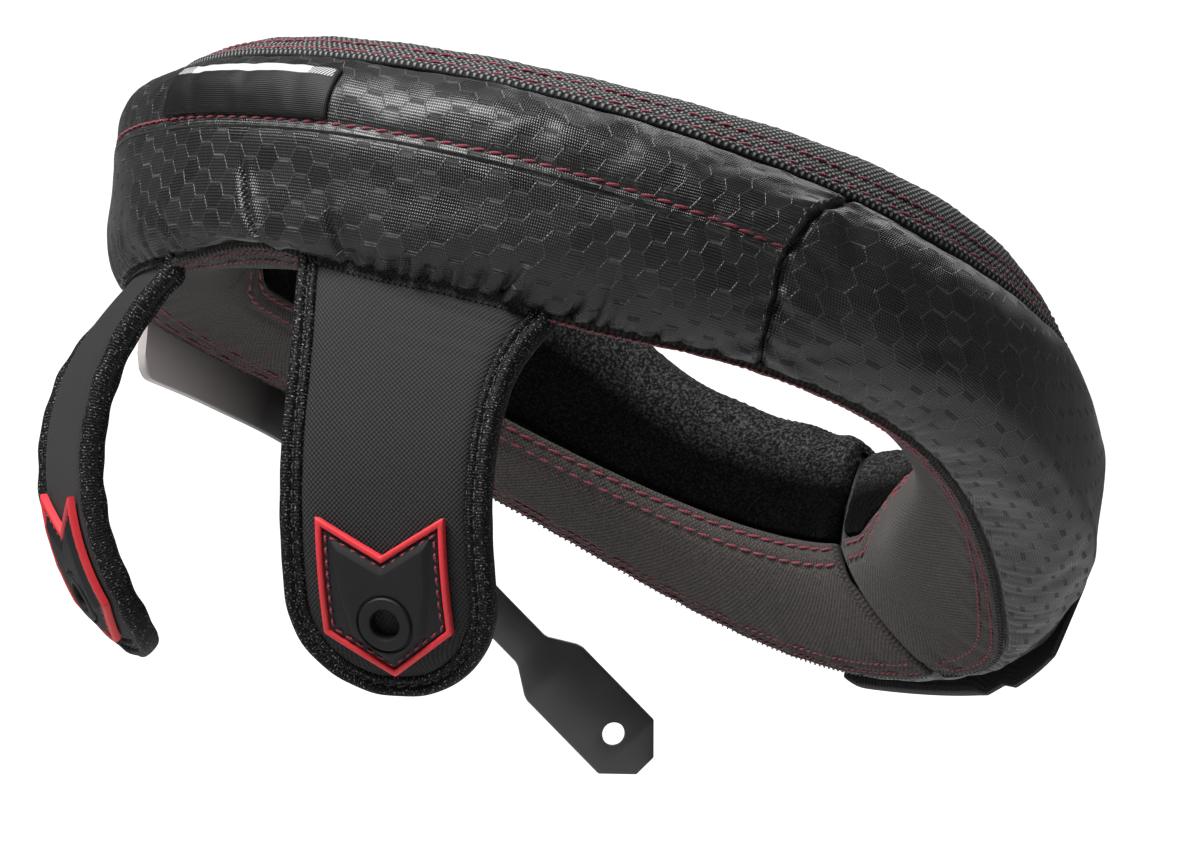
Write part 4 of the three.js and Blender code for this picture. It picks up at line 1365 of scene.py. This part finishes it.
def shield_loop(outline, directions):
    """Distance from the hole's middle to an outline in each direction."""
    corners = outline - [0, SHIELD["hole"]]
    following = np.roll(corners, -1, axis=0)
    far = np.full(len(directions), np.inf)
    ray = rays(directions)
    for a, b in zip(corners, following):
        edge = b - a
        cross = ray[:, 0] * edge[1] - ray[:, 1] * edge[0]
        cross = np.where(np.abs(cross) < TINY, TINY, cross)
        distance = (a[0] * edge[1] - a[1] * edge[0]) / cross
        spot = (a[0] * ray[:, 1] - a[1] * ray[:, 0]) / cross
        hit = (distance > 0) & (spot > -CORNER_SLACK) & (spot < 1 + CORNER_SLACK)
        far = np.where(hit, np.minimum(far, distance), far)
    return far


def shield_directions():
    """Directions round the hole, with one at each corner of the outline."""
    corners = shield_corners(RIM_WIDTH) - [0, SHIELD["hole"]]
    exact = np.arctan2(corners[:, 1], corners[:, 0]) % (2 * math.pi)
    even = np.linspace(0, 2 * math.pi, SHIELD_POINTS, endpoint=False)
    away = np.abs((even[:, None] - exact + math.pi) % (2 * math.pi) - math.pi).min(axis=1)
    return np.sort(np.concatenate([even[away > CORNER_CLEAR], exact]))


def on_shield(spot, height):
    """Along, side and out on a tab for places round the hole, at a height above the shield's base."""
    return SHIELD["hole"] + spot[:, 1], spot[:, 0], SHIELD["base"] + height


# Foot of the raised panel of a shield: side and along, round it
SHIELD_PANEL = both_sides((0, 74.6), [(13.8, 66.9), (13.0, 80), (10.2, 92.5)], (0, 100.6))
# Steps of a shield from its edge to its hole, with the height above its base: inset of the outline first,
# then share of the panel, then radius
SHIELD_EDGE = [(1.8, 0.0), (1.8, 0.9), (2.0, 1.2), (3.2, 1.2), (3.5, 1.35)]
SHIELD_RISE = [(1.0, 1.5), (0.97, 1.7), (0.86, 2.7), (0.84, 2.75)]
SHIELD_RING = [(8.0, 2.9), (7.7, 2.8), (7.5, 2.3), (7.1, 2.3), (6.9, 3.0), (6.6, 3.3)]
SHIELD_RING += [(5.2, 3.35), (4.4, 3.25), (4.05, 3.0), (3.9, 2.3), (3.9, 0.0)]
# Section of the rim: share of its width and of its height, up one side and down the other
RIM_SIDE = [(0.0, 0.0), (0.0, 0.75), (0.12, 0.92), (0.35, 1.0)]
RIM_SECTION = RIM_SIDE + [(1 - share, height) for share, height in RIM_SIDE[::-1]]
# Stitch row of a shield: inset, height above its base and points of its route
SHIELD_ROW = {"inset": 2.7, "height": 1.25, "points": 400}
# Angles in degrees from which an edge of a shield, a rim and the mounting strap is sharp
SHARP = {"shield": 28, "rim": 40, "strap": 40}


def shield_piece(tab, surface):
    """A moulded shield with a raised panel and a ring round its hole."""
    directions = shield_directions()
    panel = shield_loop(SHIELD_PANEL, directions)
    loops = [(shield_loop(shield_corners(inset), directions), height) for inset, height in SHIELD_EDGE]
    loops += [(panel * share, height) for share, height in SHIELD_RISE]
    loops += [(np.full(len(directions), radius), height) for radius, height in SHIELD_RING]
    spots = [rays(directions) * distance[:, None] for distance, _ in loops]
    points = np.stack([surface.at(*on_shield(spot, height)) for spot, (_, height) in zip(spots, loops)])
    weave = on_cloth(*np.moveaxis(np.stack(spots), -1, 0))
    obj = finished(f"shield_{tab['name']}", points, RUBBER, weave, endless=True)
    obj.data.set_sharp_from_angle(angle=math.radians(SHARP["shield"]))


def rim_piece(tab, surface):
    """The red rim round a shield."""
    directions = shield_directions()
    rows = []
    for share, height in RIM_SECTION:
        spot = rays(directions) * shield_loop(shield_corners(RIM_WIDTH * share), directions)[:, None]
        rows.append(surface.at(*on_shield(spot, height * RIM_THICK)))
    points = np.stack(rows)
    obj = finished(f"shield_{tab['name']}_rim", points, RED_RUBBER, points / MM, endless=True)
    obj.data.set_sharp_from_angle(angle=math.radians(SHARP["rim"]))


def shield_stitches(tab, surface):
    """Red stitches inside the rim."""
    directions = np.linspace(0, 2 * math.pi, SHIELD_ROW["points"])
    spot = rays(directions) * shield_loop(shield_corners(SHIELD_ROW["inset"]), directions)[:, None]
    route = surface.route(*on_shield(spot, SHIELD_ROW["height"]))
    stitching(f"shield_{tab['name']}_stitches", [route], RED_THREAD, pitch=3.1, length=2.6, radius=0.38)


def binding_stitches(tab, surface):
    """Black stitches in the groove of the binding."""
    inwards, height = BINDING_GROOVE
    along, side = tab_outline(tab, BINDING_WIDTH / 2 + inwards * BINDING_WIDTH / 2, GROOVE_STEP)
    out = TAB_DROP_IN + TAB_THICK / 2 + height * BINDING_THICK / 2
    route = surface.route(along, side, out)
    stitching(f"tab_{tab['name']}_stitches", [route], BLACK_THREAD, pitch=3.4, length=2.6, radius=0.3)


for tab in TABS:
    surface = TabSurface(tab)
    tab_pad(tab, surface)
    tab_binding(tab, surface)
    shield_piece(tab, surface)
    rim_piece(tab, surface)
    shield_stitches(tab, surface)
    binding_stitches(tab, surface)


# Plastic mounting strap


# Route of the strap in the part's frame: x, y, z, width and the angle that it faces
STRAP_ROUTE = np.array(
    [
        (-104, -72, 5, 13, 123),
        (-119.5, -36, -4.5, 12, 105),
        (-123.5, -4, -17.5, 11, 90),
        (-117, 22, -38, 11, 70),
        (-105, 47, -66, 11, 55),
    ],
    float,
)
STRAP_THICK = 2.6
STRAP_CORNER = 6
STRAP_EDGE = 0.7
# How far the strap's upper edge rises under the hem, at each place of the route
STRAP_RAISE = (3.4, 1.6, 2.2, 0, 0)
# Section of the strap: share of its rounded edge to the side, and of its half thickness
STRAP_SECTION = [(-0.2, 1), (0.2, 1), (0.7, 0.85), (1, 0.4), (1, -0.4), (0.7, -0.85), (0.2, -1), (-0.2, -1)]
STRAP_SECTION += [(-0.7, -0.85), (-1, -0.4), (-1, 0.4), (-0.7, 0.85)]
# Outline of the paddle: distance from the end of the route and half width
PADDLE = [(0, 5.5), (15.5, 5.5), (17, 6), (24, 10.3), (25.5, 10.75), (54, 10.75), (61.5, 3.5)]
PADDLE_HOLE = {"along": 49, "radius": 3.25}
# Points along the route and along the paddle, and sides and length of the drill
STRAP_POINTS = (100, 110)
DRILL_SIDES = 48
DRILL_LENGTH = 12


def open_curve(points, t):
    """Points of an open centripetal curve through some points."""
    padded = np.concatenate([[2 * points[0] - points[1]], points, [2 * points[-1] - points[-2]]])
    spans = len(points) - 1
    first = np.minimum(np.floor(t * spans).astype(int), spans - 1)
    corners = [padded[first + step] for step in range(4)]
    return through(*corners, (t * spans - first)[:, None])


def strap_outline(travel, length):
    """Half widths of the strap above and below its middle line, at distances from its start."""
    knots = np.linspace(0, length, len(STRAP_ROUTE))
    half = np.interp(travel, knots, STRAP_ROUTE[:, 3] / 2)
    beyond = travel - length
    paddle = np.array(PADDLE)
    half = np.where(beyond > 0, np.interp(beyond, paddle[:, 0], paddle[:, 1]), half)
    rounded = STRAP_CORNER * quarter(fading(travel, STRAP_CORNER))
    return half + np.interp(travel, knots, STRAP_RAISE), half - rounded


def keep_weave(whole, drilled):
    """Gives each point of a drilled mesh the cloth position of the nearest point of the whole one."""
    before, after = read_vectors(whole.vertices, "co"), read_vectors(drilled.vertices, "co")
    nearest = [np.square(before - point).sum(axis=1).argmin() for point in after]
    weave = read_vectors(whole.attributes["weave"].data, "vector")[nearest]
    layer = drilled.attributes.get("weave") or drilled.attributes.new("weave", "FLOAT_VECTOR", "POINT")
    layer.data.foreach_set("vector", weave.ravel())


def drill(obj, middle, direction, radius):
    """Cuts a round hole through a piece."""
    bpy.ops.mesh.primitive_cylinder_add(vertices=DRILL_SIDES, radius=radius * MM, depth=DRILL_LENGTH * MM)
    cutter = bpy.context.object
    cutter.location = middle
    cutter.rotation_mode = "QUATERNION"
    cutter.rotation_quaternion = Vector(direction).to_track_quat("Z", "Y")
    cut = obj.modifiers.new("hole", "BOOLEAN")
    cut.object = cutter
    cut.operation = "DIFFERENCE"
    cut.solver = "EXACT"
    bpy.context.view_layer.update()
    whole = obj.data
    obj.data = bpy.data.meshes.new_from_object(obj.evaluated_get(bpy.context.evaluated_depsgraph_get()))
    obj.modifiers.clear()
    obj.data.materials.clear()
    obj.data.materials.append(whole.materials[0])
    bpy.data.objects.remove(cutter)
    keep_weave(whole, obj.data)


def strap_piece():
    """The strap, which bends along its route and ends in a flat paddle with a hole."""
    spans = len(STRAP_ROUTE) - 1
    route = STRAP_ROUTE[:, :3]
    t = np.linspace(0, 1, STRAP_POINTS[0])
    place = open_curve(route, t)
    ahead = unit(open_curve(route, np.minimum(t + NUDGE, 1)) - open_curve(route, t - NUDGE))
    facing = np.interp(t * spans, np.arange(spans + 1), STRAP_ROUTE[:, 4])
    beyond = np.linspace(0, PADDLE[-1][0], STRAP_POINTS[1])[1:, None]
    place = np.concatenate([place, place[-1] + beyond * ahead[-1]])
    ahead = np.concatenate([ahead, np.broadcast_to(ahead[-1], (len(beyond), 3))])
    turn = np.radians(np.concatenate([facing, np.full(len(beyond), facing[-1])]))
    travel = run_along(place)
    upper, lower = strap_outline(travel, travel[len(t) - 1])
    across = unit(np.cross(outwards(turn), ahead))
    out = unit(np.cross(ahead, across))
    section = np.array(STRAP_SECTION)
    inset = np.where(section[:, 0] > 0, upper[:, None] - STRAP_EDGE, lower[:, None] - STRAP_EDGE)
    side = inset * np.sign(section[:, 0]) + STRAP_EDGE * section[:, 0]
    lift = STRAP_THICK / 2 * section[:, 1]
    points = place[:, None] + across[:, None] * side[..., None] + out[:, None] * lift[None, :, None]
    obj = finished("mounting_strap", points * MM, PLASTIC, on_cloth(travel[:, None], side))
    hole = place[len(t) - 1] + PADDLE_HOLE["along"] * ahead[-1]
    drill(obj, hole * MM, out[-1], PADDLE_HOLE["radius"])
    obj.data.set_sharp_from_angle(angle=math.radians(SHARP["strap"]))


strap_piece()


# Rows of stitches on the ring


# Degrees from the right arm's end to the row across it, the place where it ends, the angles of the row on
# the hem's edge, and the points of a row round the ring, along an arm, and round the lining's corner
END_ROW = 3.0
END_PLACE = 0.965
EDGE_ROW = (49, 104)
ROW_POINTS = 700
ARM_POINTS = 260
CORNER_POINTS = 40


def line_row(angles, place, offset):
    """A row at some millimetres from a line of the ring."""
    at = np.full_like(angles, place)
    return at + offset / speed(angles, at)


def ring_stitches():
    """The two rows on the top cover and the one on the back."""
    angles = np.linspace(LEFT_END + 3, RIGHT_END - 3, ROW_POINTS)
    top = PLACE["seam"] + 2 * EDGE
    rows = [shell_route(angles, line_row(angles, top, offset), 0.15) for offset in TOP_ROWS]
    stitching("top_stitches", rows, RED_THREAD, pitch=4.4, length=4.5, radius=0.38)
    angles = np.linspace(-ARM_SEAM + 0.6, ARM_SEAM - 0.6, 420)
    row = face_route(angles, np.full_like(angles, PLACE["stitch"]), 0.05, SEAMS_OF["back"])
    stitching("back_stitches", [row], RED_THREAD, pitch=4.5, length=4.7, radius=0.42, slant=0.14)


def lining_stitches():
    """Two rows beside the lining's edge on each arm, round its corner."""
    rows = []
    turn = np.linspace(0, math.pi / 2, CORNER_POINTS)
    corner = LINING_START + LINING_CORNER * (1 - np.cos(turn))
    right = np.concatenate([corner, np.linspace(corner[-1], RIGHT_END - 1.5, ARM_POINTS)[1:]])
    left = np.concatenate([np.linspace(LEFT_END + 0.4, -corner[-1], ARM_POINTS)[:-1], -corner[::-1]])
    for offset in LINING_ROWS:
        for angles in (left, right):
            angle, at = beside(angles, lining_edge(angles), offset)
            rows.append(shell_route(angle, at, 0.25))
    stitching("lining_stitches", rows, RED_THREAD, pitch=4.4, length=4.6, radius=0.38)


def hem_route(offset):
    """Along the hem at some millimetres from it, and across the right arm's end."""
    back = END_ROW + offset / DEGREE
    angles = np.linspace(LEFT_END + 1, RIGHT_END - back, ROW_POINTS)
    at = line_row(angles, 1 - EDGE, -offset)
    across = np.linspace(at[-1], END_PLACE, 30)[1:]
    return np.concatenate([angles, np.full(len(across), angles[-1])]), np.concatenate([at, across])


def hem_stitches():
    """Red rows along the hem and on a stretch of its edge, and black thread over the whole edge."""
    rows = [shell_route(*hem_route(offset), 0.2) for offset in HEM_ROWS]
    near = np.linspace(*EDGE_ROW, 200)
    rows.append(shell_route(near, np.full_like(near, 1 - EDGE / 2), 0.1))
    stitching("hem_stitches", rows, RED_THREAD, pitch=2.4, length=2.5, radius=0.32, slant=0.28)
    angles = np.linspace(LEFT_END + 1, RIGHT_END - 1, ROW_POINTS)
    edge = shell_route(angles, np.full_like(angles, 1 - EDGE), 0.1)
    stitching("hem_overlock", [edge], BLACK_THREAD, pitch=1.7, length=1.8, radius=0.26, slant=1.2)


def seam_stitches():
    """A row beside each arm seam, on the back."""
    rows = []
    places = np.linspace(0.03, PLACE["seam"] - 0.02, 120)
    for seam in (-ARM_SEAM, ARM_SEAM):
        inner = seam - math.copysign(1.1, seam)
        grid, depth, _ = face_grid(np.array([inner]), SEAMS_OF["back"])
        spot = np.interp(places, FACE, grid[0])
        low = np.interp(places, FACE, depth[0])
        rows.append(shell_route(spot, places, low))
    stitching("seam_stitches", rows, BLACK_THREAD, pitch=3.0, length=2.2, radius=0.3)


ring_stitches()
lining_stitches()
hem_stitches()
seam_stitches()


# Camera, floor and light


PHOTO_SIZE = (1200, 845)
ORIGIN_PIXEL = (591, 373)
PIXELS_PER_MM = 3.777
CAMERA = {"azimuth": 52, "elevation": 0.8, "distance": 2.71, "lens": 307, "sensor": 36, "reach": 50}
# Pale floor and backdrop, in metres, and how much the backdrop glows
PALE = (0.7, 0.7, 0.7, 1)
FLOOR_HEIGHT = -0.48
FLOOR_SIZE = 60
BACKDROP_DISTANCE = 6
BACKDROP_SIZE = 1.8
BACKDROP_GLOW = 1.0
# Grey of the world by the height of the direction, with the two ends first: height and value
WORLD_STOPS = [(0.0, 0.4), (0.8, 0.12), (0.03, 0.4), (0.08, 0.08)]
WORLD_STRENGTH = 1.0
# Lights: name, azimuth, elevation, distance, size and power
LIGHTS = [
    ("overhead", 0, 55, 1.5, (1.0, 0.7), 58),
    ("front", 112, 30, 2.2, (0.8, 0.8), 1.5),
    ("rear", 205, 38, 2.2, (1.0, 1.0), 14),
]


def aim(azimuth, elevation):
    """Direction from the object towards a viewer at that azimuth and elevation."""
    a, e = math.radians(azimuth), math.radians(elevation)
    return Vector((math.sin(a) * math.cos(e), -math.cos(a) * math.cos(e), math.sin(e)))


def add_camera():
    """A long lens that puts the part's origin on its pixel of the photo."""
    data = bpy.data.cameras.new("camera")
    data.lens = CAMERA["lens"]
    data.sensor_width = CAMERA["sensor"]
    data.clip_end = CAMERA["reach"]
    camera = put("camera", data)
    towards = aim(CAMERA["azimuth"], CAMERA["elevation"])
    camera.rotation_mode = "QUATERNION"
    camera.rotation_quaternion = (-towards).to_track_quat("-Z", "Y")
    right = camera.rotation_quaternion @ Vector((1, 0, 0))
    up = camera.rotation_quaternion @ Vector((0, 1, 0))
    aside = (PHOTO_SIZE[0] / 2 - ORIGIN_PIXEL[0]) / PIXELS_PER_MM * MM
    below = (PHOTO_SIZE[1] / 2 - ORIGIN_PIXEL[1]) / PIXELS_PER_MM * MM
    camera.location = towards * CAMERA["distance"] + right * aside - up * below
    bpy.context.scene.camera = camera


def add_light(name, azimuth, elevation, distance, size, power):
    """A soft light that shines at the part."""
    data = bpy.data.lights.new(name, "AREA")
    data.shape = "RECTANGLE"
    data.size, data.size_y = size
    data.energy = power
    light = put(name, data)
    towards = aim(azimuth, elevation)
    light.location = towards * distance
    light.rotation_mode = "QUATERNION"
    light.rotation_quaternion = towards.to_track_quat("Z", "Y")


def pale_sheet(name, size, location, rotation, glow):
    """A pale sheet of the studio, which may glow a little."""
    material = bpy.data.materials.new(f"pale_{name}")
    material.use_nodes = True
    shader = material.node_tree.nodes["Principled BSDF"]
    shader.inputs["Base Color"].default_value = PALE
    shader.inputs["Roughness"].default_value = 0.9
    shader.inputs["Emission Color"].default_value = (1, 1, 1, 1)
    shader.inputs["Emission Strength"].default_value = glow
    bpy.ops.mesh.primitive_plane_add(size=size, location=location, rotation=rotation)
    sheet = bpy.context.object
    sheet.name = name
    sheet.data.materials.append(material)


def add_studio():
    """A floor, and a backdrop across the camera's view."""
    pale_sheet("floor", FLOOR_SIZE, (0, 0, FLOOR_HEIGHT), (0, 0, 0), 0.0)
    behind = aim(CAMERA["azimuth"], 0) * -BACKDROP_DISTANCE
    turn = (math.radians(90), 0, math.radians(CAMERA["azimuth"]))
    pale_sheet("backdrop", BACKDROP_SIZE, behind, turn, BACKDROP_GLOW)


def add_world():
    """A grey world that is brighter below the horizon."""
    world = bpy.data.worlds.new("studio")
    bpy.context.scene.world = world
    world.use_nodes = True
    tree = world.node_tree
    background = tree.nodes["Background"]
    spot = tree.nodes.new("ShaderNodeTexCoord")
    split = tree.nodes.new("ShaderNodeSeparateXYZ")
    ramp = tree.nodes.new("ShaderNodeValToRGB")
    tree.links.new(spot.outputs["Generated"], split.inputs[0])
    tree.links.new(split.outputs["Z"], ramp.inputs["Fac"])
    tree.links.new(ramp.outputs["Color"], background.inputs["Color"])
    stops = ramp.color_ramp.elements
    first, last, *others = WORLD_STOPS
    stops[0].position, stops[1].position = first[0], last[0]
    for stop, (_, value) in zip(list(stops), (first, last)):
        stop.color = (value, value, value, 1)
    for position, value in others:
        stops.new(position).color = (value, value, value, 1)
    background.inputs["Strength"].default_value = WORLD_STRENGTH


add_camera()
add_studio()
add_world()
for light in LIGHTS:
    add_light(*light)
bpy.context.scene.view_settings.view_transform = "Standard"
